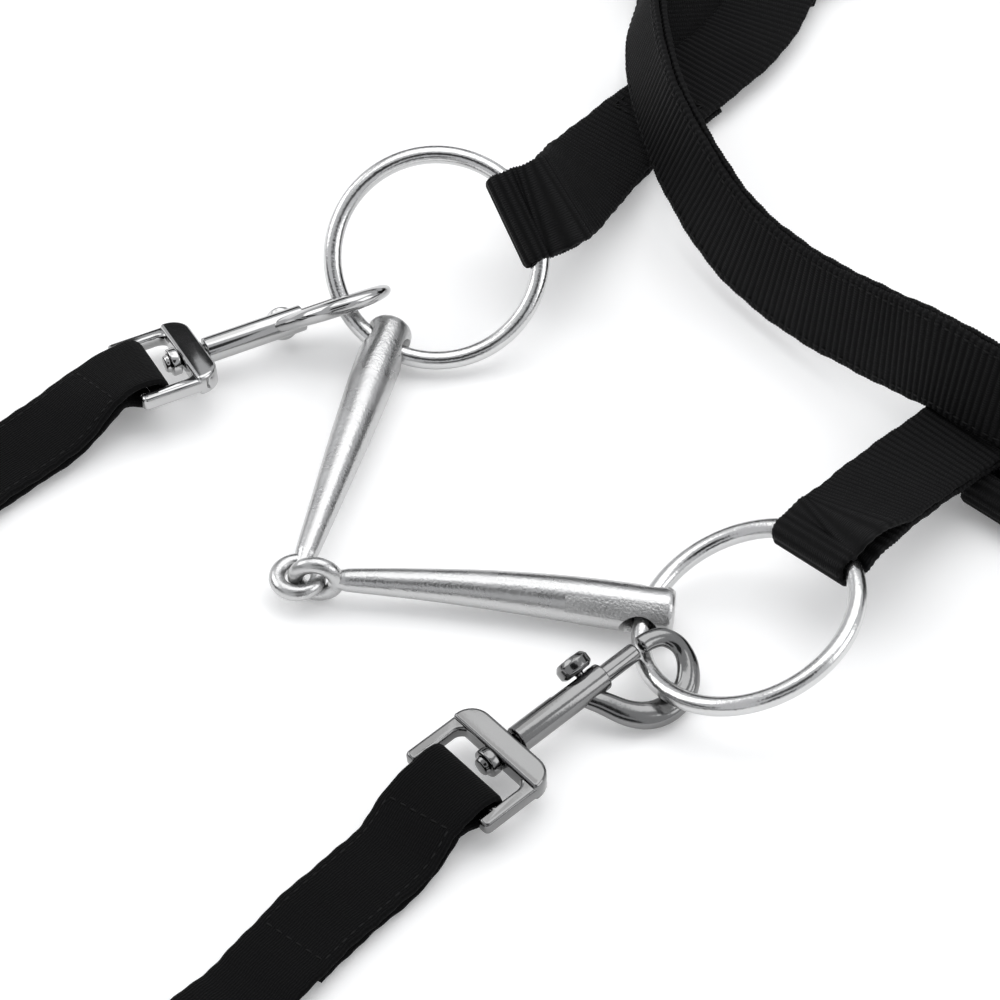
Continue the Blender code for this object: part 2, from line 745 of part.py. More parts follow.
def lean(x, y, low, away):
    """The same, leaning back from the direction away."""
    width = (Z * 0.955 - away * 0.297).normalized()
    return lay(x, y, low) + width * WEB_WIDTH / 2, width


def noseband_route():
    first = OFF_NOSE - X * BAR_OUT
    last = NEAR_NOSE + X * BAR_OUT
    front = unit(-0.35, -0.94, 0)
    left = unit(-0.85, -0.53, 0)
    middle = unit(0, -1, 0)
    right = unit(0.7, -0.7, 0)
    return Route([
        (first, Y), (first - X * 0.006, Y), (first - X * 0.012, Y),
        (lay(-121, 225, 9.8), unit(0, 0.7, 0.7)), edge(-131, 210, 1.4), edge(-119, 188.5, 2.6),
        lean(-99.0, 165.5, 3.6, left), lean(-84.5, 143.0, 6.5, left),
        lean(-64.2, 122.6, 9.4, left), lean(-43.0, 108.0, 8.0, front),
        lean(-17.0, 97.0, 4.0, front), lean(8.6, 92.0, 4.0, middle),
        lean(34.0, 89.6, 8.0, middle), lean(54.0, 87.6, 13.0, middle),
        lean(74.0, 87.3, 14.2, middle), lean(92, 94, 12.5, right), edge(110, 110, 6.0),
        edge(122, 135, 1.5), edge(127, 163, 1.4), edge(123, 182, 2.2),
        (lay(113, 190.5, 9.8), unit(0, -0.7, 0.7)),
        (last + X * 0.012, -Y), (last + X * 0.006, -Y), (last, -Y)])


def make_noseband():
    route = noseband_route()
    profile = even_profile(both_ends(route, SQUARE_ROUND, WEB_THICK, 0.020), 0.0075)
    strap("noseband", route, profile, WEB_WIDTH, WEB_THICK, "webbing")
    start, end = 0.052, route.length - 0.046
    lining = even_profile([(start, -PLY - 0.0001), (end, -PLY - 0.0001)], 0.0075)
    strap("noseband_lining", route, lining, WEB_WIDTH, WEB_THICK, "webbing")


CHIN_SLIDE = axes(lay(85.0, 88.4, 6.0), X, Y)


def make_chin():
    """The chin strap in two halves: one on its slide, one with its free end."""
    make_slide("chin_slide", CHIN_SLIDE)
    reach = 0.0032 + SLIDE_SLOT
    front = CHIN_SLIDE.translation - Y * reach
    route = Route([(front, X), (front + Y * 0.020, X), (lay(83, 112, 6.0), X),
                   (lay(76, 146, 6.0), unit(0.98, 0.2, 0))])
    tail = [(0.026, -0.0030), (0.0090, -0.0030), (0.0056, -0.0026), (0.0036, -0.0008)]
    top = [(0.0029, 0.0010), (0.0022, 0.0022), (0.0009, 0.0027), (-0.0009, 0.0027),
           (-0.0022, 0.0022), (-0.0029, 0.0010), (-0.0031, -0.0010), (-0.0027, -0.0031)]
    under = [(-0.0012, -0.0046), (0.0010, -0.0051), (route.length, -0.0051)]
    strap("chin_strap_near", route, even_profile(tail + top + under), WEB_WIDTH, WEB_THICK,
          "webbing")
    billet = Route([(lay(-69, 150, 0.9), unit(0.75, 0.66, 0)),
                    (lay(-92, 172, 0.9), unit(0.75, 0.66, 0)),
                    (lay(-106, 186, 0.9), unit(0.75, 0.66, 0))])
    strap("chin_strap_off", billet, even_profile([(0.0, 0.0), (billet.length, 0.0)]), WEB_WIDTH,
          WEB_THICK, "webbing")


def make_cheeks():
    for side, low, high in (("off", OFF_NOSE, OFF_TEMPLE), ("near", NEAR_NOSE, NEAR_TEMPLE)):
        start, end = low + Y * BAR_OUT, high - Y * BAR_OUT
        middle = (start + end) / 2
        middle.z = 0.0040
        route = Route([(start, X), (start + Y * 0.008, X), (start + Y * 0.016, X), (middle, X),
                       (end - Y * 0.016, X), (end - Y * 0.008, X), (end, X)])
        profile = even_profile(both_ends(route, SQUARE_ROUND, WEB_THICK, SQUARE_TAIL))
        strap("cheek_strap_" + side, route, profile, WEB_WIDTH, WEB_THICK, "webbing")


def make_browband():
    first = OFF_TEMPLE + X * BAR_OUT
    last = NEAR_TEMPLE - X * BAR_OUT
    route = Route([
        (first, -Y), (first + X * 0.006, -Y), (first + X * 0.012, -Y),
        (lay(-36, 341, 10.4), unit(0, -0.7, 0.7)), edge(-29, 326, 1.8), edge(-31, 295, 1),
        edge(-27, 258, 1), edge(-12, 232, 1), edge(4, 228, 1), edge(19, 242, 1),
        edge(25, 272, 1), edge(24, 298, 1.8),
        (lay(31, 314, 10.4), unit(0, 0.7, 0.7)), (last - X * 0.012, Y), (last - X * 0.006, Y),
        (last, Y)])
    profile = even_profile(both_ends(route, SQUARE_ROUND, WEB_THICK, 0.014), 0.0075)
    strap("browband", route, profile, WEB_WIDTH, WEB_THICK, "webbing")


CROWN_SLIDE_AT = 0.046     # from the near temple bar, along the crown strap
CROWN_SLIDE_LIFT = 0.0014  # the slide's middle above the strap's


def make_crown():
    first = OFF_TEMPLE + Y * BAR_OUT
    last = NEAR_TEMPLE + Y * BAR_OUT
    route = Route([
        (last, X), (last + Y * 0.008, X), (last + Y * 0.016, X), (last + Y * 0.062, X),
        (lay(70, 420, 9.5), unit(0.75, 0, 0.66)),
        edge(69, 446, 1.4), edge(56, 478, 1), edge(26, 502, 1), edge(-14, 506, 1),
        edge(-54, 488, 1), edge(-76, 458, 1.4), (lay(-81, 428, 9.5), unit(0.72, 0, 0.7)),
        (first + Y * 0.034, X), (first + Y * 0.016, X), (first + Y * 0.008, X), (first, X)])
    slot = CROWN_SLIDE_AT
    near = fold_profile(SQUARE_ROUND, WEB_THICK, slot - 0.014, slot - 0.014)
    clear = SLIDE_BAR + GAP + WEB_THICK / 2 + 0.0002
    lift = [(0.0095, -clear), (0.0064, -clear), (0.0050, -0.0012), (0.0036, 0.0012),
            (0.0022, clear), (0.0, clear + 0.0003)]
    weave = [(-place, height) for place, height in lift] + list(reversed(lift[:-1]))
    weave = [(slot + place, CROWN_SLIDE_LIFT + height) for place, height in weave]
    far = fold_profile(SQUARE_ROUND, WEB_THICK, 0.034, 0.060)
    far = [(route.length - place, height) for place, height in reversed(far)]
    profile = even_profile(near + weave + far, 0.0075)
    strap("crown_strap", route, profile, WEB_WIDTH, WEB_THICK, "webbing")
    point, across = route.at(slot, CROWN_SLIDE_LIFT)
    make_slide("crown_slide", axes(point, across, Y))


# ---------------------------------------------------------------- the throatlatch
BUCKLE = lay(128, 318, 5.9)     # middle of the buckle's strap bar
BUCKLE_REACH = 0.0220           # strap bar to roller bar
BUCKLE_HALF = 0.0150
BUCKLE_BAR = 0.0018


def make_buckle():
    frame = axes(BUCKLE, X, Y)
    long, wide = BUCKLE_REACH + 2 * BUCKLE_BAR, 2 * BUCKLE_HALF + 2 * BUCKLE_BAR
    outer = box("throat_buckle_frame", (long, wide, 2 * BUCKLE_BAR), (BUCKLE_REACH / 2, 0, 0),
                frame, bevel=0.0008)
    hole = box("throat_buckle_gap", (BUCKLE_REACH - 2 * BUCKLE_BAR, wide - 4 * BUCKLE_BAR, 0.02),
               (BUCKLE_REACH / 2, 0, 0), frame)
    combine(outer, hole, "DIFFERENCE")
    notch = box("throat_buckle_notch", (0.008, 2 * BUCKLE_HALF - 0.0048, 0.02),
                (BUCKLE_REACH, 0, 0), frame)
    combine(outer, notch, "DIFFERENCE")
    spindle = rod("throat_buckle_spindle", 0.0011, (BUCKLE_REACH, -BUCKLE_HALF, 0),
                  (BUCKLE_REACH, BUCKLE_HALF, 0), frame, sides=12)
    combine(outer, spindle, "UNION")
    smooth(outer)
    dress(outer, "steel")

    far_bar = axes(BUCKLE + X * BUCKLE_REACH, X, Y)
    roller = rod("throat_roller", 0.0022, (0, 0.0029 - BUCKLE_HALF, 0),
                 (0, BUCKLE_HALF - 0.0029, 0), far_bar, sides=20)
    bore = rod("throat_roller_bore", 0.0014, (0, -0.02, 0), (0, 0.02, 0), far_bar, sides=16)
    combine(roller, bore, "DIFFERENCE")
    smooth(roller)
    dress(roller, "steel")

    curl = BUCKLE_BAR * 1.42 + GAP + 0.0011
    points = [(curl * math.cos(a), 0, curl * math.sin(a))
              for a in (math.radians(d) for d in range(330, 89, -30))]
    points += [(0.006, 0, curl + 0.0002), (0.012, 0, curl + 0.0003), (0.0205, 0, curl - 0.0001),
               (BUCKLE_REACH + 0.0024, 0, curl - 0.0003)]
    prong = tube("throat_prong", points, [0.0011] * (len(points) - 1) + [0.0008], frame)
    smooth(prong)
    dress(prong, "steel")


def make_throatlatch():
    bar = NEAR_TEMPLE + X * BAR_OUT
    route = Route([(bar, -Y), (bar + X * 0.008, -Y), (bar + X * 0.016, -Y),
                   (BUCKLE - X * 0.012, -Y), (BUCKLE, -Y)])
    near = fold_profile(SQUARE_ROUND, WEB_THICK, 0.018, route.length / 2)
    far = fold_profile(BUCKLE_BAR * 1.3, WEB_THICK, 0.018, route.length / 2)
    far = [(route.length - place, height) for place, height in reversed(far)]
    short = strap("throat_buckle_strap", route, even_profile(near + far[1:]), WEB_WIDTH,
                  WEB_THICK, "webbing")
    slit = box("throat_prong_slit", (0.018, 0.0036, 0.03), (0.001, 0, 0.0), axes(BUCKLE, X, Y))
    combine(short, slit, "DIFFERENCE")

    keeper_frame = axes(BUCKLE - X * 0.022, X, Y)
    room = Vector((0.020, WEB_WIDTH + 0.0016, 0.0064))
    wall = 0.0011
    keeper = box("throat_keeper", (0.009, room.y + 2 * wall, room.z + 2 * wall), (0, 0, 0),
                 keeper_frame)
    hollow = box("throat_keeper_room", tuple(room), (0, 0, 0), keeper_frame)
    combine(keeper, hollow, "DIFFERENCE")
    dress(keeper, "webbing")

    start = OFF_TEMPLE - X * BAR_OUT
    long = Route([
        (start, Y), (start - X * 0.006, Y), (start - X * 0.012, Y),
        (lay(-121, 350, 9.8), unit(0, 0.7, 0.7)), edge(-131, 368, 1.4), edge(-130, 412, 1),
        edge(-118, 464, 1), edge(-86, 506, 1),
        edge(-38, 530, 1), edge(18, 534, 1), edge(66, 516, 1), edge(100, 478, 1),
        edge(115, 436, 1.4), (lay(120, 408, 9.5), unit(-0.7, 0, 0.7)),
        (lay(122, 384, 2.6), -X), (lay(123, 352, 1.2), -X)])
    near = fold_profile(SQUARE_ROUND, WEB_THICK, 0.020, 0.060)
    profile = even_profile(near + [(0.066, 0.0), (long.length, 0.0)], 0.0085)
    strap("throatlatch", long, profile, WEB_WIDTH, WEB_THICK, "webbing")


def make_headstall():
    make_squares()
    make_hangers()
    make_noseband()
    make_chin()
    make_cheeks()
    make_browband()
    make_crown()
    make_buckle()
    make_throatlatch()


make_bit()
make_snaps()
make_rein("off", OFF_REIN)
make_rein("near", NEAR_REIN)
make_headstall()
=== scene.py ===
"""Looks of the bridle halter: woven straps, stitching, the chromed bit and its swivel snaps.

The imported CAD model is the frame. Straps, reins and round hardware are rebuilt here with
their fine surface, in the places that the design gives them; metres, +Z up.
"""
import json
import math

import bmesh
import bpy
from mathutils import Matrix, Vector


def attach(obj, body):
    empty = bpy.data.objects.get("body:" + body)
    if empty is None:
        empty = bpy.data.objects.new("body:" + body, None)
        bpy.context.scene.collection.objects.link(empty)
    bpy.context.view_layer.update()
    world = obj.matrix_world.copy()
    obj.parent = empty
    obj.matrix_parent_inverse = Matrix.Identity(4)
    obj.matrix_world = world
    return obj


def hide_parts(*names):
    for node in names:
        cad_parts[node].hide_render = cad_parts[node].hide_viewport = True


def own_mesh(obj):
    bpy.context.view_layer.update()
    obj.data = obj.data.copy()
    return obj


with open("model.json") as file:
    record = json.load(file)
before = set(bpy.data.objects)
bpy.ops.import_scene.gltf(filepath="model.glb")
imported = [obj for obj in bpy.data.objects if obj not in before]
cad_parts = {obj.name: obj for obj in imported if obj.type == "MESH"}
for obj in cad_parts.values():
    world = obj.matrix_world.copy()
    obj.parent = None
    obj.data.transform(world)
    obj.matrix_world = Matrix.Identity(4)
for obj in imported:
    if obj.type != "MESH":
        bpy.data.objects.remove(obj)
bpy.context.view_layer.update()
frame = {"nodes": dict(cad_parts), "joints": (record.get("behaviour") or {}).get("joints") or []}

# ---- driving dimensions
ORIGIN_X = 9.4          # layout millimetres that are x = 0 and y = 0 in the frame
ORIGIN_Y = 232.3
GAP = 0.0003

RING_MAJOR = 0.02525
RING_WIRE = 0.00225
CANNON_LENGTH = 0.0755
CANNON_THICK = 0.0056
CANNON_STOPS = ((0.0030, 0.0018), (0.0060, 0.0024), (0.0090, 0.0028), (0.0250, 0.0037),
                (0.0430, 0.0047), (0.0600, 0.0054))     # radius at places from the eye
CANNON_PAST = 0.0040    # how far it keeps its full size past the ring hole
CAP_OUT, CAP_IN = 0.0022, 0.0011      # its rounded end
CANNON_BOW = 0.0016     # how far the near cannon bows to one side
EYE_MAJOR = 0.0047
EYE_WIRE = 0.0019
EYE_HEIGHT = 0.0058
HOLE_RADIUS = 0.0036
MOUTH_FROM, MOUTH_TO = 0.0022, 0.0066     # the hole's flare, out from the bar's middle
MOUTH_RADIUS = 0.0048
HALF_SWING = math.radians(8)

BARREL_LENGTH = 0.0255
BARREL_RADIUS = 0.00325
BORE_RADIUS = 0.00245
BOLT_RADIUS = 0.00215
BOLT_TAIL = 0.0148
BOLT_TIP = 0.0356
KNOB_AT = 0.0213
YOKE_WIDTH = 0.0272
YOKE_BAR_AT = -0.0163
YOKE_BAR_RADIUS = 0.0018

WEB_WIDTH = 0.023
WEB_THICK = 0.0016
CUT_END = 0.12          # how far a strap's sealed end is pinched, as a share of its size
CUT_END_LENGTH = 0.0015
REIN_WIDTH = 0.020
REIN_THICK = 0.0015
REIN_PLY = 0.00095      # how far each ply of the rein's loop lies from its middle
REIN_SEAM = (0.012, 0.053)      # where the loop's stitching starts and ends
REIN_SEAM_OUT = 0.0082
REIN_TAIL, REIN_LOOP = 0.056, 0.058     # where the turned-back end and the doubled part end
PLY = 0.00100
RIB_PITCH = 0.00185     # one cross rib of the headstall webbing
REIN_RIB = 0.00110
RIB_RISE = 0.00016      # how far the webbing's ribs and the reins' stand up
REIN_RISE = 0.00003
SELVEDGE = 0.00030      # how far the ribs push the webbing's edges out, and the reins'
REIN_SELVEDGE = 0.00010

SQUARE_SIDE = 0.038
SQUARE_BAR = 0.0020
SQUARE_ROUND = 0.0027
HARDWARE_Z = 4.9
BAR_OUT = SQUARE_SIDE / 2 - SQUARE_BAR
SQUARE_TAIL = 0.034
SLIDE_BAR = 0.0012
SLIDE_SLOT = 0.0054

COIL_START = 0.0650     # rolled rein, middle of its outermost and innermost turns
COIL_PITCH = 0.0075
COIL_TURNS = 2.8
COIL_HEIGHT = 0.0117

X, Y, Z = Vector((1, 0, 0)), Vector((0, 1, 0)), Vector((0, 0, 1))


def lay(x, y, z):
    """A place on the table, from layout millimetres."""
    return Vector((x - ORIGIN_X, y - ORIGIN_Y, z)) / 1000.0


def unit(x, y, z):
    return Vector((x, y, z)).normalized()


def axes(origin, forward, side):
    """A frame with +X along forward and +Y as near to side as it can be."""
    x = forward.normalized()
    z = x.cross(side).normalized()
    y = z.cross(x)
    result = Matrix((x, y, z)).transposed().to_4x4()
    result.translation = origin
    return result


# ---- camera, light and floor
def make_camera():
    """The photograph's view: from the near side and behind the bit, 48 degrees up."""
    data = bpy.data.cameras.new("camera")
    data.lens = 122.4
    data.sensor_width = 36.0
    data.clip_end = 20.0
    camera = bpy.data.objects.new("camera", data)
    right = Vector((0.7431, 0.6691, 0.0))
    up = Vector((-0.4972, 0.5522, 0.6691))
    back = Vector((0.4477, -0.4973, 0.7431))
    camera.matrix_world = Matrix((right, up, back)).transposed().to_4x4()
    camera.matrix_world.translation = lay(349.7, -391.1, 593.3)
    bpy.context.scene.collection.objects.link(camera)
    bpy.context.scene.camera = camera


def area_light(name, place, target, size, power):
    data = bpy.data.lights.new(name, "AREA")
    data.shape = "RECTANGLE"
    data.size, data.size_y = size
    data.energy = power
    light = bpy.data.objects.new(name, data)
    light.location = place
    light.rotation_euler = (Vector(target) - Vector(place)).to_track_quat("-Z", "Y").to_euler()
    bpy.context.scene.collection.objects.link(light)


ROOM_LIGHT = 0.72
FLOOR_SIZE = 6.0
FLOOR_Z = -0.0004
FLOOR_GLOW = 0.16       # a lit table top, as in product photographs
AIM = (0.0, -0.15, 0.0)
LIGHTS = (("overhead", (-0.25, 0.25, 1.4), (1.7, 1.3), 11.0),      # place, size, watts
          ("window", (-1.3, -0.7, 0.9), (1.1, 0.9), 6.0),
          ("fill", (1.2, 0.4, 0.8), (0.8, 0.9), 4.0))
DARK_CARDS = (("card_left", (-1.1, 0.75, 0.45), (1.1, 0.5)),       # place, size
              ("card_right", (0.95, -1.0, 0.35), (0.7, 0.4)),
              ("card_back", (0.35, 1.3, 0.4), (0.8, 0.45)),
              ("card_camera", (0.75, -0.95, 1.35), (1.3, 0.8)),
              ("card_high", (-0.9, 0.2, 1.5), (0.35, 1.2)),
              ("card_front", (-0.55, -1.2, 0.3), (0.9, 0.28)))


def make_stage():
    """White table, pale room and soft lights; dark cards, unseen themselves, line the chrome."""
    bpy.context.scene.view_settings.view_transform = "Standard"
    world = bpy.data.worlds.new("studio")
    world.use_nodes = True
    bpy.context.scene.world = world
    background = world.node_tree.nodes["Background"]
    background.inputs["Color"].default_value = (0.97, 0.98, 1.0, 1.0)
    background.inputs["Strength"].default_value = ROOM_LIGHT
    for name, place, size, power in LIGHTS:
        area_light(name, place, AIM, size, power)

    bpy.ops.mesh.primitive_plane_add(size=FLOOR_SIZE, location=(0, 0, FLOOR_Z))
    floor = bpy.context.object
    floor.name = "floor"
    white = plain_look("floor_white", grey(0.95), 0.9)
    glow = white.node_tree.nodes["Principled BSDF"].inputs
    glow["Emission Color"].default_value = (1.0, 1.0, 1.0, 1.0)
    glow["Emission Strength"].default_value = FLOOR_GLOW
    floor.data.materials.append(white)
    dark = plain_look("card_black", (0.01, 0.01, 0.011), 0.8)
    for name, place, size in DARK_CARDS:
        bpy.ops.mesh.primitive_plane_add(size=1.0, location=place)
        card = bpy.context.object
        card.name = name
        card.scale = (*size, 1.0)
        toward = Vector(AIM) - Vector(place)
        card.rotation_euler = toward.to_track_quat("Z", "Y").to_euler()
        card.data.materials.append(dark)
        card.visible_camera = False


# ---- materials
def grey(level):
    return (level, level, level)


def plain_look(name, colour, roughness, metallic=0.0):
    material = bpy.data.materials.new(name)
    material.use_nodes = True
    shader = material.node_tree.nodes["Principled BSDF"]
    shader.inputs["Base Color"].default_value = (*colour, 1.0)
    shader.inputs["Roughness"].default_value = roughness
    shader.inputs["Metallic"].default_value = metallic
    return material


class Nodes:
    """Short calls for building a material's node tree."""

    def __init__(self, material):
        self.tree = material.node_tree
        self.shader = self.tree.nodes["Principled BSDF"]

    def add(self, kind, inputs=None, **settings):
        node = self.tree.nodes.new("ShaderNode" + kind)
        for key, value in settings.items():
            setattr(node, key, value)
        for key, value in (inputs or {}).items():
            if isinstance(value, bpy.types.NodeSocket):
                self.tree.links.new(value, node.inputs[key])
            else:
                node.inputs[key].default_value = value
        return node

    def maths(self, operation, one, two=0.0):
        return self.add("Math", {0: one, 1: two}, operation=operation).outputs[0]

    def link(self, output, socket):
        self.tree.links.new(output, self.shader.inputs[socket])

    def spread(self, value, low, high):
        """value from 0 to 1 as a number from low to high."""
        return self.add("MapRange", {"Value": value, "To Min": low, "To Max": high}).outputs[0]

    def tint(self, value, dark, light):
        ramp = self.add("ValToRGB", {"Fac": value})
        ramp.color_ramp.elements[0].color = (*dark, 1.0)
        ramp.color_ramp.elements[1].color = (*light, 1.0)
        return ramp.outputs["Color"]

    def noise(self, place, scale, detail):
        return self.add("TexNoise", {"Vector": place, "Scale": scale,
                                     "Detail": detail}).outputs["Fac"]

    def bump(self, height, distance):
        node = self.add("Bump", {"Height": height, "Distance": distance})
        self.link(node.outputs["Normal"], "Normal")


def webbing_look(name, dark, light, pitch, sheen, roughness, ribbed=1.0):
    """Woven webbing: cross ribs, twisted yarns along them and a little lint.

    The strap's UV map holds millimetres: U along it and V across it.
    """
    material = plain_look(name, dark, roughness)
    n = Nodes(material)
    place = n.add("UVMap", uv_map="strap").outputs["UV"]
    ribs = n.add("TexWave", {"Vector": place, "Scale": math.pi / 10 / (pitch * 1000),
                             "Distortion": 0.5, "Detail": 1.0, "Detail Scale": 2.0},
                 wave_type="BANDS", bands_direction="X", wave_profile="SIN").outputs["Fac"]
    yarns = n.add("TexWave", {"Vector": place, "Scale": 0.52, "Distortion": 3.0,
                              "Detail": 2.0, "Detail Scale": 1.5},
                  wave_type="BANDS", bands_direction="Y", wave_profile="SIN").outputs["Fac"]
    fuzz = n.noise(place, 3.2, 4.0)
    cloud = n.noise(place, 0.06, 3.0)
    weave = n.maths("MULTIPLY", n.spread(ribs, 1.0 - ribbed, 1.0), n.spread(yarns, 0.30, 1.0))
    height = n.maths("ADD", weave, n.maths("MULTIPLY", fuzz, 0.7))
    # The base colour follows the weave: darker in the rib valleys and lighter on the rib crests,
    # a painted shade and highlight; fuzz and cloud vary it at random.
    shade = n.maths("MULTIPLY", n.maths("ADD", n.maths("MULTIPLY", weave, 0.6),
                                        n.maths("MULTIPLY", fuzz, 0.4)),
                    n.spread(cloud, 0.7, 1.25))
    n.link(n.tint(shade, dark, light), "Base Color")
    n.link(n.spread(fuzz, roughness - 0.08, roughness + 0.10), "Roughness")
    n.shader.inputs["Sheen Weight"].default_value = sheen
    n.shader.inputs["Sheen Roughness"].default_value = 0.45
    n.shader.inputs["Specular IOR Level"].default_value = 0.07
    n.bump(height, 0.00022)
    return material


def chrome_look(name, colour, rough, grain, dent):
    """Plated metal: a mirror broken by fine polishing marks and faint smudges."""
    material = plain_look(name, colour, rough, 1.0)
    n = Nodes(material)
    place = n.add("TexCoord").outputs["Object"]
    smudge = n.noise(place, 140.0, 4.0)
    mark = n.noise(place, 1500.0, 2.0)
    wave = n.noise(place, 260.0, 2.0)
    n.link(n.spread(smudge, rough * 0.55, rough * 1.7), "Roughness")
    darker = tuple(c * 0.86 for c in colour)
    n.link(n.tint(smudge, darker, colour), "Base Color")
    n.bump(n.maths("ADD", n.maths("MULTIPLY", mark, grain), wave), dent)
    return material


LOOKS = {}


def make_looks():
    # Each webbing's dark tone is for the rib valleys and its light tone for the crests: painted
    # shade and highlight.
    LOOKS["webbing"] = webbing_look("webbing_black", (0.0004, 0.0004, 0.0005),
                                    (0.0175, 0.0175, 0.0182), RIB_PITCH, 0.012, 0.60)
    LOOKS["rein"] = webbing_look("rein_black", (0.0010, 0.0010, 0.0011),
                                 (0.0085, 0.0085, 0.0088), REIN_RIB, 0.03, 0.90, ribbed=0.25)
    LOOKS["thread"] = thread_look()
    LOOKS["tape"] = tape_look()
    LOOKS["bit"] = chrome_look("bit_chrome", grey(0.66), 0.17, 0.7, 0.00006)
    # The cannons' colour is set darker than the rings' to dim the overhead lamp's reflection in
    # them: painted shade.
    LOOKS["cannon"] = chrome_look("cannon_chrome", grey(0.56), 0.25, 0.7, 0.00009)
    LOOKS["worn"] = chrome_look("cannon_worn", grey(0.50), 0.46, 1.6, 0.00024)
    LOOKS["snap"] = chrome_look("snap_chrome", grey(0.50), 0.10, 0.2, 0.00001)
    # The near snap's chrome is the same as the off snap's but darker: painted shade.
    LOOKS["shaded_snap"] = chrome_look("snap_chrome_painted_shade", grey(0.23), 0.12, 0.4, 0.00003)
    LOOKS["steel"] = chrome_look("steel_plated", (0.55, 0.56, 0.58), 0.24, 0.6, 0.00002)


def thread_look():
    """Waxed black thread, its tone changing a little from stitch to stitch."""
    material = plain_look("thread_black", (0.003, 0.003, 0.0032), 0.6)
    n = Nodes(material)
    place = n.add("TexCoord").outputs["Object"]
    tone = n.noise(place, 700.0, 2.0)
    n.link(n.tint(tone, (0.0015, 0.0015, 0.0016), (0.006, 0.006, 0.0063)), "Base Color")
    n.shader.inputs["Specular IOR Level"].default_value = 0.2
    return material


def tape_look():
    """Plain woven tape for ties and keepers, from the object's own coordinates."""
    material = plain_look("tape_black", (0.006, 0.006, 0.0065), 0.85)
    n = Nodes(material)
    place = n.add("TexCoord").outputs["Object"]
    weave = n.noise(place, 900.0, 3.0)
    n.link(n.tint(weave, (0.002, 0.002, 0.002), (0.013, 0.013, 0.0135)), "Base Color")
    n.bump(weave, 0.0001)
    return material


# ---- mesh helpers
def new_object(name, mesh):
    obj = bpy.data.objects.new(name, mesh)
    bpy.context.scene.collection.objects.link(obj)
    return obj


def place_piece(obj, look, body, slot, *nodes):
    """Gives a finished piece its look, its body and the nodes that it replaces; slot is not
    used.
    """
    obj.data.materials.clear()
    obj.data.materials.append(LOOKS[look])
    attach(obj, body)
    if nodes:
        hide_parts(*nodes)
    return obj


def made_mesh(work, name):
    bmesh.ops.recalc_face_normals(work, faces=work.faces)
    mesh = bpy.data.meshes.new(name)
    work.to_mesh(mesh)
    work.free()
    return mesh


def shade(mesh, sharp):
    """Smooth shading, but for edges that turn by more than so many degrees."""
    mesh.shade_smooth()
    mesh.set_sharp_from_angle(angle=math.radians(sharp))


def evaluated(obj):
    """The object's mesh with its modifiers applied."""
    bpy.context.view_layer.update()
    graph = bpy.context.evaluated_depsgraph_get()
    mesh = bpy.data.meshes.new_from_object(obj.evaluated_get(graph))
    obj.modifiers.clear()
    obj.data = mesh
    return mesh


def skin(work, rings, closed_rows=False):
    """Faces from each ring of vertices to the next, and over the two open ends."""
    pairs = list(zip(rings, rings[1:]))
    if closed_rows:
        pairs.append((rings[-1], rings[0]))
    for one, two in pairs:
        for corners in zip(one, one[1:] + one[:1], two[1:] + two[:1], two):
            work.faces.new(corners)
    if not closed_rows:
        work.faces.new(list(reversed(rings[0])))
        work.faces.new(rings[-1])


def solid(name, rows, closed_rows=False, frame_at=Matrix()):
    """A surface through rings of points, its two open ends filled."""
    work = bmesh.new()
    skin(work, [[work.verts.new(frame_at @ Vector(p)) for p in row] for row in rows],
         closed_rows)
    bmesh.ops.remove_doubles(work, verts=work.verts, dist=0.000002)
    mesh = made_mesh(work, name)
    shade(mesh, 38)
    return new_object(name, mesh)


def circle(count):
    return [(math.cos(2 * math.pi * k / count), math.sin(2 * math.pi * k / count))
            for k in range(count)]


def torus(name, major, minor, frame_at, around=160, sides=32):
    """A wire ring about the frame's Z."""
    rows = [[((major + minor * u) * c, (major + minor * u) * s, minor * v)
             for u, v in circle(sides)] for c, s in circle(around)]
    return solid(name, rows, closed_rows=True, frame_at=frame_at)


def turned(name, profile, frame_at, sides=48):
    """A turned piece about the frame's X, from (along, radius) pairs with rounded corners."""
    rows = [[(x, r * c, r * s) for c, s in circle(sides)] for x, r in profile]
    return solid(name, rows, frame_at=frame_at)


def rounded(profile, radius, steps=3):
    """The profile with each inner corner cut back and turned round."""
    points = [Vector((x, r)) for x, r in profile]
    result = [points[0]]
    for before, corner, after in zip(points, points[1:], points[2:]):
        cut_in = min(radius, (corner - before).length * 0.45)
        cut_out = min(radius, (after - corner).length * 0.45)
        start = corner + (before - corner).normalized() * cut_in
        end = corner + (after - corner).normalized() * cut_out
        for k in range(steps + 1):
            t = k / steps
            result.append(start * (1 - t) ** 2 + corner * 2 * t * (1 - t) + end * t * t)
    result.append(points[-1])
    return [(p.x, max(p.y, 0.00001)) for p in result]


def smooth_line(points, per_span):
    """Catmull-Rom points through the given ones."""
    points = [Vector(p) for p in points]
    padded = [2 * points[0] - points[1], *points, 2 * points[-1] - points[-2]]
    line = []
    for a, b, c, d in zip(padded, padded[1:], padded[2:], padded[3:]):
        for step in range(per_span):
            t = step / per_span
            line.append(0.5 * (2 * b + (c - a) * t + (2 * a - 5 * b + 4 * c - d) * t * t
                               + (3 * b - a - 3 * c + d) * t ** 3))
    line.append(points[-1])
    return line


def swept(name, points, shapes, frame_at, sides=24, up=Z):
    """A bar along points; shapes gives each point's half width across up and along up."""
    points = [Vector(p) for p in points]
    rows = []
    for k, (point, (wide, tall)) in enumerate(zip(points, shapes)):
        run = (points[min(k + 1, len(points) - 1)] - points[max(k - 1, 0)]).normalized()
        side = run.cross(up).normalized()
        lift = side.cross(run)
        rows.append([point + side * u * wide + lift * v * tall for u, v in circle(sides)])
    return solid(name, rows, frame_at=frame_at)


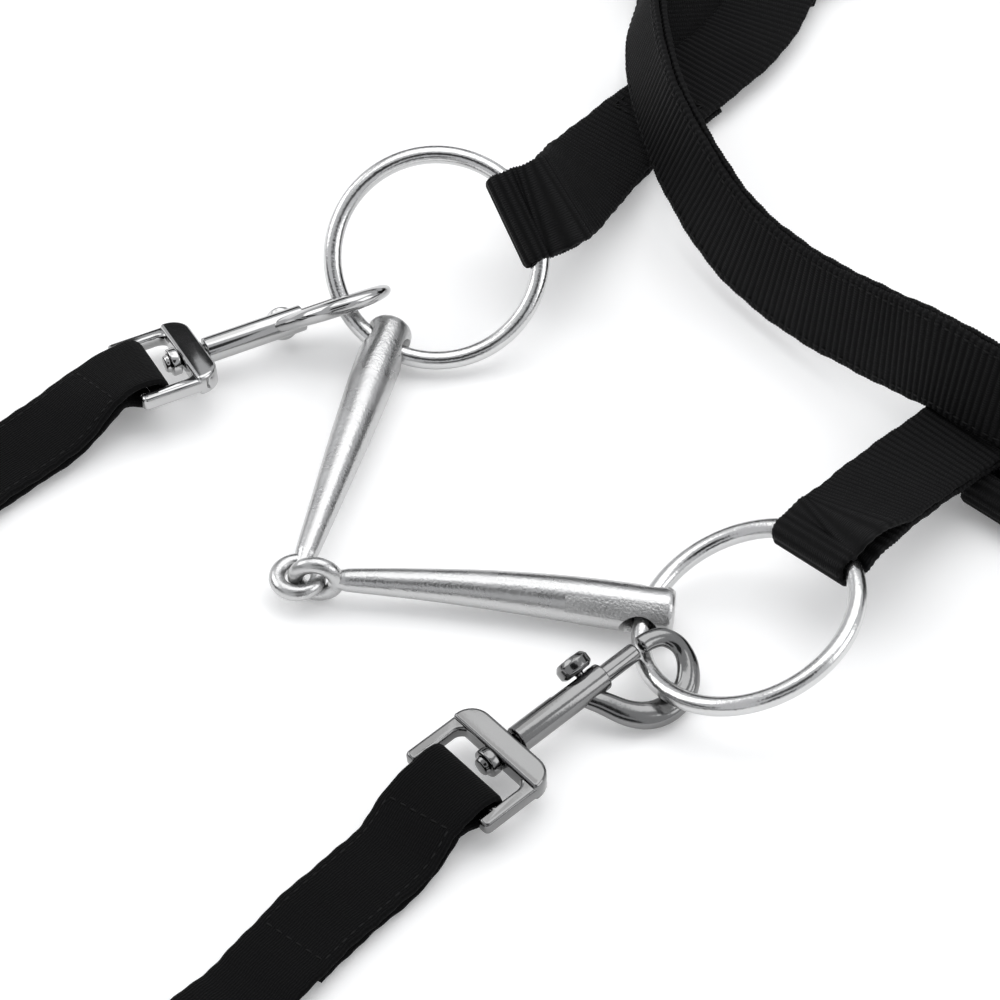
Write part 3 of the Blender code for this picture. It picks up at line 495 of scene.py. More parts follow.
def cut(target, tool, operation="DIFFERENCE"):
    """Exact boolean, applied; the tool is removed."""
    modifier = target.modifiers.new("cut", "BOOLEAN")
    modifier.operation = operation
    modifier.object = tool
    modifier.solver = "EXACT"
    evaluated(target)
    bpy.data.objects.remove(tool, do_unlink=True)


def soften(obj, width, segments):
    """Rounds an object's hard edges and smooths its shading."""
    modifier = obj.modifiers.new("rounded", "BEVEL")
    modifier.width = width
    modifier.segments = segments
    modifier.limit_method = "ANGLE"
    modifier.angle_limit = math.radians(35)
    modifier.harden_normals = False
    shade(evaluated(obj), 50)


def block(name, size, centre, frame_at):
    """A plain block as a cutter or as the start of a piece."""
    x, y, z = (s / 2 for s in size)
    ring = ((-y, -z), (y, -z), (y, z), (-y, z))
    rows = [[Vector(centre) + Vector((sign * x, u, v)) for u, v in ring] for sign in (-1, 1)]
    return solid(name, rows, frame_at=frame_at)


def rounded_box(along, across, back, front, steps=8):
    """Outline of a box whose corners are rounded, more at its front than at its back."""
    outline = []
    corners = ((1, -1, front), (1, 1, front), (-1, 1, back), (-1, -1, back))
    for sign_x, sign_y, radius in corners:
        middle_x = (along[1] - radius) if sign_x > 0 else (along[0] + radius)
        middle_y = (across[1] - radius) if sign_y > 0 else (across[0] + radius)
        first = math.atan2(sign_y, sign_x) - math.pi / 4
        for k in range(steps + 1):
            angle = first + math.pi / 2 * k / steps
            outline.append((middle_x + radius * math.cos(angle),
                            middle_y + radius * math.sin(angle)))
    return outline


def plate(name, outline, tall, frame_at):
    """A flat plate of the given outline, lying in the frame's XY plane."""
    rows = [[(x, y, z) for x, y in outline] for z in (-tall / 2, tall / 2)]
    return solid(name, rows, frame_at=frame_at)


def between(name, radius, start, end, frame_at, end_radius=None, sides=32):
    """A round bar between two points of a frame."""
    start, end = Vector(start), Vector(end)
    side = X if abs((end - start).normalized().dot(X)) < 0.9 else Y
    own = frame_at @ axes(start, end - start, side)
    last = radius if end_radius is None else end_radius
    return turned(name, [(0.0, radius), ((end - start).length, last)], own, sides)


# ---- woven straps
class Route:
    """The middle line of a strap: where it runs and which way its width lies."""

    def __init__(self, knots, start=0, per_span=12):
        self.points = smooth_line([k[0] for k in knots], per_span)
        self.widths = [w.normalized() for w in smooth_line([k[1] for k in knots], per_span)]
        self.places = [0.0]
        for one, two in zip(self.points, self.points[1:]):
            self.places.append(self.places[-1] + (two - one).length)
        shift = self.places[start * per_span]
        self.places = [place - shift for place in self.places]
        self.length = self.places[-1]
        self.last = 0

    def at(self, place):
        """Point, run, width and lift directions at a distance along the route."""
        index = min(self.last, len(self.places) - 2)
        while index > 0 and self.places[index] > place:
            index -= 1
        while index < len(self.places) - 2 and self.places[index + 1] < place:
            index += 1
        self.last = index
        one, two = self.points[index], self.points[index + 1]
        share = (place - self.places[index]) / (self.places[index + 1] - self.places[index])
        inside = min(max(share, 0.0), 1.0)
        before = self.points[max(index - 1, 0)]
        after = self.points[min(index + 2, len(self.points) - 1)]
        run = (two - before).normalized().lerp((after - one).normalized(), inside).normalized()
        width = self.widths[index].lerp(self.widths[index + 1], inside)
        width = (width - run * width.dot(run)).normalized()
        return one + (two - one) * share, run, width, width.cross(run)


def leads(bar, way, steps, width):
    """Knots straight out from a bar, so many metres along way; width is the strap's across."""
    return [(bar + way * step, width) for step in steps]


OFF_SQUARE = (0.0, 0.008, 0.016)      # where a flat strap leaves a square
OFF_SQUARE_TURNED = (0.0, 0.006, 0.012)     # and one that then turns on edge


def ease(t):
    t = min(max(t, 0.0), 1.0)
    return t * t * (3 - 2 * t)


def fold_profile(bar, thick, tail, main, reach=0.0, lead=0.012, ply=PLY):
    """Side view of a strap end folded round a bar at place 0: (place, height) pairs."""
    radius = bar + GAP + thick / 2
    away = [lead * step / 12 for step in range(12, -1, -1)]
    below = [(place, -(ply + (radius - ply) * (1 - ease(place / lead)))) for place in away]
    arc = [(-reach - radius * math.sin(math.pi * k / 16), -radius * math.cos(math.pi * k / 16))
           for k in range(17)]
    above = [(place, -height) for place, height in reversed(below)]
    if reach == 0.0:
        below, above = below[:-1], above[1:]
    return [(tail, -ply)] + below + arc + above + [(main, ply)]


def both_ends(route, tail):
    """Side view of a strap that folds round a square's bar at each of its ends."""
    near = fold_profile(SQUARE_ROUND, WEB_THICK, tail, route.length / 2)
    return near + from_end(route, near)[1:]


def resampled(profile, step):
    """The side view as even steps: (place, height, slope direction, distance) rows."""
    points = [Vector(p) for p in profile]
    reach = [0.0]
    for one, two in zip(points, points[1:]):
        reach.append(reach[-1] + (two - one).length)
    count = max(4, round(reach[-1] / step))
    rows, index = [], 0
    for k in range(count + 1):
        goal = reach[-1] * k / count
        while index < len(points) - 2 and reach[index + 1] < goal:
            index += 1
        one, two = points[index], points[index + 1]
        share = (goal - reach[index]) / max(reach[index + 1] - reach[index], 1e-9)
        rows.append((one + (two - one) * share, (two - one).normalized(), goal))
    return rows


def section(width, thick, columns=10, corner=3):
    """Cross-section of webbing: flat faces and round selvedges, as (across, up, edge)."""
    r = thick / 2
    flat = width / 2 - r
    top = [(-flat + 2 * flat * k / columns, r, 0.0) for k in range(columns + 1)]
    bend = [math.pi / 2 - math.pi * k / (corner + 1) for k in range(1, corner + 1)]
    right = [(flat + r * math.cos(a), r * math.sin(a), 1.0) for a in bend]
    under = [(-u, -v, e) for u, v, e in top]
    left = [(-u, -v, e) for u, v, e in right]
    return top + right + under + left


def webbing(name, route, profile, width, thick, pitch, look, slot, nodes, per_rib, rise,
            selvedge, ends=0.0):
    """A woven strap: ribs across it, bumpy selvedges and UVs in millimetres.

    per_rib is the number of mesh steps to a rib, ends how far a cut end is pinched; rise and
    selvedge are how far the ribs stand up from the faces and out from the edges.
    """
    outline = section(width, thick)
    rows = resampled(profile, pitch / per_rib)
    work = bmesh.new()
    layer = work.loops.layers.uv.new("strap")
    rings = []
    total = rows[-1][2]
    for k, (spot, slope, goal) in enumerate(rows):
        point, run, across, lift = route.at(spot.x)
        normal = lift * slope.x - run * slope.y
        centre = point + lift * spot.y
        crest = math.cos(2 * math.pi * k / per_rib)
        close = min(goal, total - goal)
        pinch = 1.0 - ends * max(0.0, 1 - close / CUT_END_LENGTH)
        wander = 0.00012 * math.sin(goal * 410.0) + 0.00008 * math.sin(goal * 1130.0 + 1.0)
        ring = []
        for u, v, edge in outline:
            lift_off = rise * crest * (1.0 if v > 0 else -1.0) * (1.0 - edge)
            side = (u + math.copysign(selvedge * crest * edge, u)) * pinch + wander
            ring.append(work.verts.new(centre + across * side + normal * (v * pinch + lift_off)))
        rings.append(ring)
    count = len(outline)
    for k, (one, two) in enumerate(zip(rings, rings[1:])):
        along = [((k + step) / per_rib + 0.5) * pitch * 1000 for step in (0, 1)]
        for i in range(count):
            j = (i + 1) % count
            face = work.faces.new((one[i], one[j], two[j], two[i]))
            face.smooth = True
            spots = ((along[0], i), (along[0], j), (along[1], j), (along[1], i))
            for loop, (u, c) in zip(face.loops, spots):
                loop[layer].uv = (u, outline[c][0] * 1000)
    work.faces.new(list(reversed(rings[0])))
    work.faces.new(rings[-1])
    obj = new_object(name, made_mesh(work, name))
    return place_piece(obj, look, "headstall", slot, *nodes)


def strap(name, route, profile, node, ends=0.0):
    """A strap of the headstall's ribbed webbing."""
    return webbing(name, route, profile, WEB_WIDTH, WEB_THICK, RIB_PITCH, "webbing", "webbing",
                   (node,), 4, RIB_RISE, SELVEDGE, ends)


def from_end(route, profile):
    """A profile that was measured back from the route's end, turned to run along it."""
    return [(route.length - place, height) for place, height in reversed(profile)]


STITCH = (0.0019, 0.00024)     # a stitch's length and half thickness
STITCH_PITCH = 0.0027
STITCH_SHAPE = ((-0.5, 0.35), (-0.3, 0.9), (0.0, 1.0), (0.3, 0.9), (0.5, 0.35))


def stitches(name, route, height, runs, slot="webbing"):
    """Thread lying on a strap: runs are ((place, across), (place, across)) lines."""
    work = bmesh.new()
    long, thin = STITCH
    for start, end in runs:
        start, end = Vector(start), Vector(end)
        count = max(1, round((end - start).length / STITCH_PITCH))
        for k in range(count):
            spot = start + (end - start) * ((k + 0.5) / count)
            turn = (end - start).normalized()
            point, run, across, lift = route.at(spot.x)
            up = lift * (1 if height > 0 else -1)
            way = run * turn.x + across * turn.y
            side = way.cross(up)
            centre = point + across * spot.y + lift * height
            rings = []
            for share, size in STITCH_SHAPE:
                sink = thin * (1.1 - 1.0 * size)
                rings.append([work.verts.new(centre + way * long * share - up * sink
                                             + (side * c + up * s) * thin * size)
                              for c, s in circle(6)])
            skin(work, rings)
    mesh = made_mesh(work, name)
    mesh.shade_smooth()
    return place_piece(new_object(name, mesh), "thread", "headstall", slot)


def box_runs(start, end, half):
    """A sewn box with its cross: lines between two places, half the width each way."""
    corners = ((start, -half), (end, -half), (end, half), (start, half))
    sides = list(zip(corners, corners[1:] + corners[:1]))
    return sides + [(corners[0], corners[2]), (corners[1], corners[3])]


SURFACE = PLY + WEB_THICK / 2 + RIB_RISE      # a doubled strap's outer face
SEWN_OUT = 0.0085


def sewn(name, route, start, end):
    """A sewn box on both faces of a doubled strap."""
    for side, face in (("top", SURFACE), ("under", -SURFACE)):
        stitches(f"{name}_{side}", route, face, box_runs(start, end, SEWN_OUT))


# ---- the bit
class RingPlace:
    """Where a bit ring lies: its centre, its axis and points on its wire."""

    def __init__(self, joint, level):
        self.centre = Vector(joint["pos_m"])
        self.normal = Vector(joint["axis"]).normalized()
        self.level = level
        self.down = self.normal.cross(level)
        if self.down.z > 0:
            self.down = -self.down

    def outward(self, degrees):
        turn = math.radians(degrees)
        return self.level * math.cos(turn) + self.down * math.sin(turn)

    def wire(self, degrees):
        return self.centre + self.outward(degrees) * RING_MAJOR

    def tangent(self, degrees):
        return self.outward(degrees + 90)

    def frame(self):
        return axes(self.centre, self.level, self.down)


JOINTS = {joint["name"]: joint for joint in frame["joints"]}
OFF_RING = RingPlace(JOINTS["bit_ring_off_turn"], unit(0.438, 0.415, 0.0))
NEAR_RING = RingPlace(JOINTS["bit_ring_near_turn"], unit(0.222, -0.285, 0.0))
OFF_HOLE, NEAR_HOLE = 121.0, 107.0      # degrees round the ring, down from level
OFF_HANGER, NEAR_HANGER = -24.0, 226.0
EYE_STEP = Vector((0.0040, 0.0020, 0.0008))


def joint_centre():
    """The off eye's centre, where both cannons come out at the same length."""
    one = OFF_RING.wire(OFF_HOLE)
    two = NEAR_RING.wire(NEAR_HOLE) - EYE_STEP
    middle, half = (one + two) / 2, (two - one) / 2
    flat = Vector((half.x, half.y, 0.0))
    back = Vector((flat.y, -flat.x, 0.0)).normalized()
    height = math.sqrt(CANNON_LENGTH ** 2 - flat.length ** 2)
    centre = middle + back * height
    return Vector((centre.x, centre.y, EYE_HEIGHT))


EYE_OFF = joint_centre()
EYE_NEAR = EYE_OFF + EYE_STEP
SWING_AXIS = (NEAR_RING.wire(NEAR_HOLE) - OFF_RING.wire(OFF_HOLE)).normalized()


WORN_ROUND = (113.0, 161.0)     # degrees round the near cannon
WORN_ALONG = (-0.0185, 0.0050)  # from its ring hole


def make_cannon(node, eye, hole, wire_along, eye_normal, bow, worn=False):
    """One half of the mouthpiece: tapered bar, waist, eye and countersunk ring hole."""
    along = (hole - eye).normalized()
    own = axes(hole, along, Z.cross(along))
    reach = (hole - eye).length
    full = reach + CANNON_PAST
    stops = (*CANNON_STOPS, (reach - 0.006, CANNON_THICK), (full, CANNON_THICK))
    line = smooth_line([(s, r, 0.0) for s, r in stops], 5)
    end = [(full + CAP_OUT * math.sin(a), CANNON_THICK - CAP_IN * (1 - math.cos(a)))
           for a in (math.radians(d) for d in (20, 45, 70, 90))]
    stations = [(p.x, p.y) for p in line] + end
    rows = []
    for s, r in stations:
        sway = bow * math.sin(math.pi * min(s / reach, 1.0))
        rows.append([(s - reach, sway + r * c, r * v) for c, v in circle(48)])
    last = stations[-1]
    rows.append([(last[0] - reach + 0.0001, last[1] * 0.6 * c, last[1] * 0.6 * v)
                 for c, v in circle(48)])
    bar = solid(node + "_bar", rows, frame_at=own)
    loop = torus(node + "_loop", EYE_MAJOR, EYE_WIRE,
                 axes(eye, along, eye_normal.cross(along)), 72, 24)
    cut(bar, loop, "UNION")
    drill = between(node + "_drill", HOLE_RADIUS, hole - wire_along * 0.012,
                    hole + wire_along * 0.012, Matrix(), sides=40)
    cut(bar, drill)
    for sign in (-1, 1):
        out = wire_along * sign
        mouth = between(node + "_mouth", HOLE_RADIUS - 0.0002, hole + out * MOUTH_FROM,
                        hole + out * MOUTH_TO, Matrix(), end_radius=MOUTH_RADIUS, sides=40)
        cut(bar, mouth)
    shade(bar.data, 34)
    place_piece(bar, "cannon", node, "bit_chrome", node)
    if worn:
        wear_patch(bar, own)


def wear_patch(bar, own):
    """A dull rubbed patch on the bar's outer side, near its ring end."""
    bar.data.materials.append(LOOKS["worn"])
    back = own.inverted()
    for face in bar.data.polygons:
        spot = back @ face.center
        turn = math.degrees(math.atan2(spot.z, spot.y))
        if WORN_ALONG[0] < spot.x < WORN_ALONG[1] and WORN_ROUND[0] < turn < WORN_ROUND[1]:
            face.material_index = 1


def make_bit():
    for node, ring in (("bit_ring_off", OFF_RING), ("bit_ring_near", NEAR_RING)):
        wire = torus(node + "_wire", RING_MAJOR, RING_WIRE, ring.frame())
        place_piece(wire, "bit", node, "bit_chrome", node)
    turn = Matrix.Rotation(HALF_SWING, 3, SWING_AXIS)
    make_cannon("cannon_off", EYE_OFF, OFF_RING.wire(OFF_HOLE),
                turn @ OFF_RING.tangent(OFF_HOLE), Z, 0.0)
    level = (NEAR_RING.wire(NEAR_HOLE) - EYE_NEAR).cross(Z).normalized()
    make_cannon("cannon_near", EYE_NEAR, NEAR_RING.wire(NEAR_HOLE),
                turn @ NEAR_RING.tangent(NEAR_HOLE), level, CANNON_BOW, worn=True)


# ---- the swivel snaps
def snap_frame(side, bulge):
    """A snap's own frame, from its swivel: +X along its barrel, +Y towards its hook."""
    joint = JOINTS[f"snap_{side}_swivel"]
    return axes(Vector(joint["pos_m"]), Vector(joint["axis"]), bulge)


def yoke_frame(snap, roll):
    """The yoke shares the barrel's axis, level across but for its roll."""
    forward = snap.to_3x3() @ X
    level = axes(snap.translation, forward, Z.cross(forward))
    return level @ Matrix.Rotation(roll, 4, "X")


OFF_SNAP = snap_frame("off", unit(0.62, -0.35, 0.70))
NEAR_SNAP = snap_frame("near", unit(0.93, -0.1, -0.51))
# The near snap takes the darker copy of the snap chrome, painted shade.
SNAP_LOOK = {"off": "snap", "near": "shaded_snap"}
OFF_YOKE = yoke_frame(OFF_SNAP, math.radians(-12))
NEAR_YOKE = yoke_frame(NEAR_SNAP, 0.0)


HOOK_ROUTE = ((0.0185, 0.0008, 0), (0.0215, 0.0046, 0), (0.0250, 0.0100, 0),
              (0.0292, 0.0134, 0), (0.0345, 0.0145, 0), (0.0399, 0.0132, 0),
              (0.0436, 0.0094, 0), (0.0447, 0.0050, 0), (0.0430, 0.0014, 0),
              (0.0398, 0.0000, 0), (0.0366, -0.0002, 0))
HOOK_THIN, HOOK_SWELL = 0.0022, 0.0010     # half width at its ends, and how much more between
HOOK_DEPTH = 0.69       # the hook's depth for its width
HOOK_BLUNT = 0.97       # where along it the tip starts to round off
STUD_HOLE = 0.0018

SPRING_TURNS = 6
SPRING_FROM = 0.0037
SPRING_RADIUS = 0.0017
SPRING_WIRE = 0.00024

YOKE_DEPTH, YOKE_ARM, YOKE_TALL = 0.0202, 0.0032, 0.0036
YOKE_FRONT = -0.0005
BOW_DEPTH, BOW_TALL = 0.0062, 0.0052
BOW_ROUND = 0.0052
YOKE_EDGE = 0.0009


def snap_piece(obj, side, body, node):
    place_piece(obj, SNAP_LOOK[side], body, "snap_chrome", f"snap_{node}_{side}")


def make_hook(side, own):
    """Barrel and hook, cast in one; the hook is a flattened bow whose tip meets the bolt."""
    name = "snap_hook_" + side
    end, r = BARREL_LENGTH, BARREL_RADIUS
    profile = rounded(((0.0, 0.0), (0.0, r), (end - 0.0002, r), (end, r - 0.0003),
                       (end, 0.0)), 0.0004)
    barrel = turned(name + "_barrel", profile, own, 56)
    route = smooth_line(HOOK_ROUTE, 8)
    count = len(route) - 1
    sizes = []
    for k in range(count + 1):
        t = k / count
        size = HOOK_THIN + HOOK_SWELL * math.sin(math.pi * min(1.0, 1.5 * t))
        rounding = max(0.0, (t - HOOK_BLUNT) / (1 - HOOK_BLUNT))
        blunt = math.sqrt(max(0.05, 1 - rounding ** 2))
        sizes.append((size * blunt, size * HOOK_DEPTH * blunt))
    bend = swept(name + "_bend", route, sizes, own, 32)
    cut(barrel, bend, "UNION")
    cut(barrel, between(name + "_bore", BORE_RADIUS, (0.0032, 0, 0), (end + 0.004, 0, 0), own))
    cut(barrel, block(name + "_slot", (0.0106, 0.0040, 0.0026),
                      (KNOB_AT - 0.0038, -0.0035, 0), own))
    cut(barrel, between(name + "_socket", STUD_HOLE, (-0.001, 0, 0), (0.0021, 0, 0), own))
    shade(barrel.data, 32)
    barrel.name = name + "_cast"
    snap_piece(barrel, side, "hook_" + side, "hook")


def make_bolt(side, own):
    r = BOLT_RADIUS
    profile = rounded(((BOLT_TAIL, 0.0), (BOLT_TAIL, r), (BOLT_TIP - 0.0003, r),
                       (BOLT_TIP, r * 0.55), (BOLT_TIP, 0.0)), 0.0006)
    bolt = turned(f"snap_bolt_{side}_pin", profile, own, 40)
    cut(bolt, between("hole", 0.0013, (KNOB_AT, -0.003, 0), (KNOB_AT, -0.0002, 0), own))
    snap_piece(bolt, side, "bolt_" + side, "bolt")

    upright = own @ axes(Vector((KNOB_AT, 0, 0)), -Y, X)
    profile = rounded(((0.0005, 0.0), (0.0005, 0.0010), (0.0036, 0.0010), (0.0037, 0.0032),
                       (0.0044, 0.0041), (0.0064, 0.0041), (0.0075, 0.0032), (0.0077, 0.0)),
                      0.0003)
    knob = turned(f"snap_knob_{side}_button", profile, upright, 48)
    grooves = 5
    for k in range(grooves):
        across = (k - (grooves - 1) / 2) * 0.00115
        groove = block("groove", (0.0009, 0.0005, 0.0090), (0.0078, across, 0), upright)
        cut(knob, groove)
    snap_piece(knob, side, "bolt_" + side, "knob")

    steps = 24
    reach = BOLT_TAIL - 0.0004 - SPRING_FROM
    points = SPRING_TURNS * steps
    helix = [(SPRING_FROM + reach * k / points,
              SPRING_RADIUS * math.cos(2 * math.pi * k / steps),
              SPRING_RADIUS * math.sin(2 * math.pi * k / steps)) for k in range(points + 1)]
    spring = swept(f"snap_spring_{side}_coil", helix, [(SPRING_WIRE, SPRING_WIRE)] * len(helix),
                   own, 10, up=X)
    place_piece(spring, "steel", "hook_" + side, "spring_steel", "snap_spring_" + side)
    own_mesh(spring)


def make_yoke(side, own):
    """The strap loop that the snap swivels on: a U of flat bar with its round strap bar."""
    name = "snap_yoke_" + side
    half, gap = YOKE_WIDTH / 2, YOKE_WIDTH / 2 - YOKE_ARM
    strip = rounded_box((YOKE_FRONT - YOKE_DEPTH, YOKE_FRONT), (-half, half), 0.0013, BOW_ROUND)
    yoke = plate(name + "_strip", strip, YOKE_TALL, own)
    inner = rounded_box((YOKE_FRONT - YOKE_DEPTH * 2, YOKE_FRONT - BOW_DEPTH), (-gap, gap),
                        0.0005, 0.0024)
    cut(yoke, plate(name + "_gap", inner, 0.01, own))
    soften(yoke, YOKE_EDGE, 4)
    band = rounded_box((YOKE_FRONT - BOW_DEPTH, YOKE_FRONT), (-half, half), 0.0010, BOW_ROUND)
    bow = plate(name + "_bow", band, BOW_TALL, own)
    soften(bow, YOKE_EDGE, 4)
    cut(yoke, bow, "UNION")
    bar = between(name + "_rod", YOKE_BAR_RADIUS, (YOKE_BAR_AT, 0.001 - half, 0),
                  (YOKE_BAR_AT, half - 0.001, 0), own)
    cut(yoke, bar, "UNION")
    cut(yoke, between(name + "_hole", STUD_HOLE, (-0.009, 0, 0), (0.002, 0, 0), own))
    shade(yoke.data, 32)
    snap_piece(yoke, side, "headstall", "yoke")


def make_rivet(side, own):
    profile = rounded(((-0.0106, 0.0), (-0.0106, 0.0020), (-0.0094, 0.0023), (-0.0093, 0.0034),
                       (-0.0071, 0.0034), (-0.0070, 0.0014), (0.0018, 0.0014), (0.0018, 0.0)),
                      0.0004)
    rivet = turned(f"snap_rivet_{side}_stud", profile, own, 40)
    snap_piece(rivet, side, "hook_" + side, "rivet")


def make_snaps():
    for side, own, yoke in (("off", OFF_SNAP, OFF_YOKE), ("near", NEAR_SNAP, NEAR_YOKE)):
        make_hook(side, own)
        make_bolt(side, own)
        make_yoke(side, yoke)
        make_rivet(side, own)


# ---- the reins
OFF_REIN_KNOTS = [
    (lay(-98.8, -52, 4.6), -X), (lay(-101, -72, 3.0), -X), (lay(-101, -92, 2.9), -X),
    (lay(-101, -112, 9.2), unit(-0.7, 0, 0.7)), (lay(-101, -130, 11.7), Z)]
NEAR_REIN_KNOTS = [
    (lay(45.6, -88, 3.0), -X), (lay(45.4, -110, 2.8), -X), (lay(47.0, -135, 2.7), -X),
    (lay(48.6, -165, 7.6), unit(-0.85, 0, 0.5)), (lay(49, -185, 11.0), unit(-0.3, 0, 0.95)),
    (lay(49, -205, 11.7), Z)]


def coil_knots(centre, start_angle, turn):
    """The rolled rein: a spiral on edge, from its outermost turn inwards."""
    knots = []
    steps = 24
    for k in range(round(COIL_TURNS * steps) + 1):
        angle = start_angle + turn * 2 * math.pi * k / steps
        radius = COIL_START - COIL_PITCH * k / steps
        spot = centre + Vector((radius * math.cos(angle), radius * math.sin(angle), 0.0))
        spot.z = COIL_HEIGHT
        knots.append((spot, Z.copy()))
    return knots


def make_rein(side, yoke, knots, centre, start_angle, turn):
    """One rein, from its sewn loop round the yoke's bar to the end of its roll."""
    bar = yoke @ Vector((YOKE_BAR_AT, 0, 0))
    run = -(yoke.to_3x3() @ X)
    across = yoke.to_3x3() @ Y
    across = across if across.x < 0 else -across
    lead = [(bar - run * 0.006, across), (bar, across), (bar + run * 0.010, across)]
    route = Route(lead + knots + coil_knots(centre, start_angle, turn), start=1, per_span=6)
    step = 0.004
    profile = fold_profile(YOKE_BAR_RADIUS, REIN_THICK, REIN_TAIL, REIN_LOOP, ply=REIN_PLY)
    profile += [(REIN_LOOP + step * k, REIN_PLY * (1 - ease(k / 4))) for k in range(1, 6)]
    profile += [(route.length, 0.0)]
    rein = webbing("rein_" + side, route, profile, REIN_WIDTH, REIN_THICK, REIN_RIB, "rein",
                   "rein_webbing", (f"rein_strap_{side}", f"rein_coil_{side}"), 2, REIN_RISE,
                   REIN_SELVEDGE)
    start, end = REIN_SEAM
    lines = [((start, s), (end, s)) for s in (-REIN_SEAM_OUT, REIN_SEAM_OUT)]
    lines += [((p, -REIN_SEAM_OUT), (p, REIN_SEAM_OUT)) for p in REIN_SEAM]
    face = REIN_PLY + REIN_THICK / 2 + REIN_RISE
    thread = stitches(f"rein_{side}_thread", route, face, lines, slot="rein_webbing")
    under = stitches(f"rein_{side}_thread_under", route, -face, lines, slot="rein_webbing")
    path = [route.at(route.length * k / 160)[0] for k in range(161)]


def make_reins():
    make_rein("off", OFF_YOKE, OFF_REIN_KNOTS, lay(-166, -148, 0), 0.0, -1)
    make_rein("near", NEAR_YOKE, NEAR_REIN_KNOTS, lay(114, -223, 0), math.pi, 1)


# ---- headstall straps
OFF_NOSE, NEAR_NOSE = lay(-76, 229, HARDWARE_Z), lay(71, 190, HARDWARE_Z)
OFF_TEMPLE, NEAR_TEMPLE = lay(-76, 346, HARDWARE_Z), lay(71, 318, HARDWARE_Z)


def hanger_route(ring, degrees, knots, square):
    start, outward, across = ring.wire(degrees), ring.outward(degrees), ring.tangent(degrees)
    across = across if across.x > 0 else -across
    bar = square - Y * BAR_OUT
    return Route([(start - outward * 0.009, across), (start, across),
                  (start + outward * 0.008, across), *knots,
                  *reversed(leads(bar, -Y, OFF_SQUARE, X))], start=1)


def make_hangers():
    reach = RING_MAJOR - math.sqrt(RING_MAJOR ** 2 - (WEB_WIDTH / 2) ** 2)
    routes = {
        "off": hanger_route(OFF_RING, OFF_HANGER, [
            (lay(-60.0, 97.9, 10.5), unit(0.95, 0.10, -0.22)),
            (lay(-65.3, 124.3, 4.9), unit(0.98, 0.15, -0.04)),
            (lay(-67.1, 167.6, 4.0), unit(1, 0.1, 0))], OFF_NOSE),
        "near": hanger_route(NEAR_RING, NEAR_HANGER, [
            (lay(65.2, 65.4, 14.0), unit(0.99, 0, 0.08)),
            (lay(66.8, 95.6, 10.0), X),
            (lay(69.5, 130, 5.4), X)], NEAR_NOSE),
    }
    for side, route in routes.items():
        front = fold_profile(RING_WIRE, WEB_THICK, 0.092, route.length / 2, reach=reach,
                             lead=0.016)
        back = from_end(route, fold_profile(SQUARE_ROUND, WEB_THICK, 0.024, route.length / 2))
        name = "bit_hanger_" + side
        strap(name + "_web", route, front + back[1:], name)
        sewn(name + "_thread", route, 0.072, 0.088)
        sewn(name + "_back", route, route.length - 0.021, route.length - 0.012)


def edge(x, y, low):
    return lay(x, y, low + WEB_WIDTH * 500), Z


def lean(x, y, low, away):
    width = (Z * 0.955 - away * 0.297).normalized()
    return lay(x, y, low) + width * WEB_WIDTH / 2, width


def noseband_route():
    first = OFF_NOSE - X * BAR_OUT
    last = NEAR_NOSE + X * BAR_OUT
    front = unit(-0.35, -0.94, 0)
    left = unit(-0.85, -0.53, 0)
    middle = unit(0, -1, 0)
    right = unit(0.7, -0.7, 0)
    return Route([
        *leads(first, -X, OFF_SQUARE_TURNED, Y),
        (lay(-121, 225, 9.8), unit(0, 0.7, 0.7)), edge(-131, 210, 1.4), edge(-119, 188.5, 2.6),
        lean(-99.0, 165.5, 3.6, left), lean(-84.5, 143.0, 6.5, left),
        lean(-64.2, 122.6, 9.4, left), lean(-43.0, 108.0, 8.0, front),
        lean(-17.0, 97.0, 4.0, front), lean(8.6, 92.0, 4.0, middle),
        lean(34.0, 89.6, 8.0, middle), lean(54.0, 87.6, 13.0, middle),
        lean(74.0, 87.3, 14.2, middle), lean(92, 94, 12.5, right), edge(110, 110, 6.0),
        edge(122, 135, 1.5), edge(127, 163, 1.4), edge(123, 182, 2.2),
        (lay(113, 190.5, 9.8), unit(0, -0.7, 0.7)),
        *reversed(leads(last, X, OFF_SQUARE_TURNED, -Y))])


def make_noseband():
    route = noseband_route()
    strap("noseband_web", route, both_ends(route, 0.020), "noseband")
    start, end = 0.052, route.length - 0.046
    strap("noseband_lining_web", route, [(start, -PLY - 0.0001), (end, -PLY - 0.0001)],
          "noseband_lining")
    lines = [((start + 0.003, s), (end - 0.003, s)) for s in (-0.0098, 0.0098)]
    stitches("noseband_thread", route, -SURFACE - 0.0001, lines)
    stitches("noseband_thread_front", route, SURFACE, lines)


CHIN_SLIDE = axes(lay(85.0, 88.4, 6.0), X, Y)


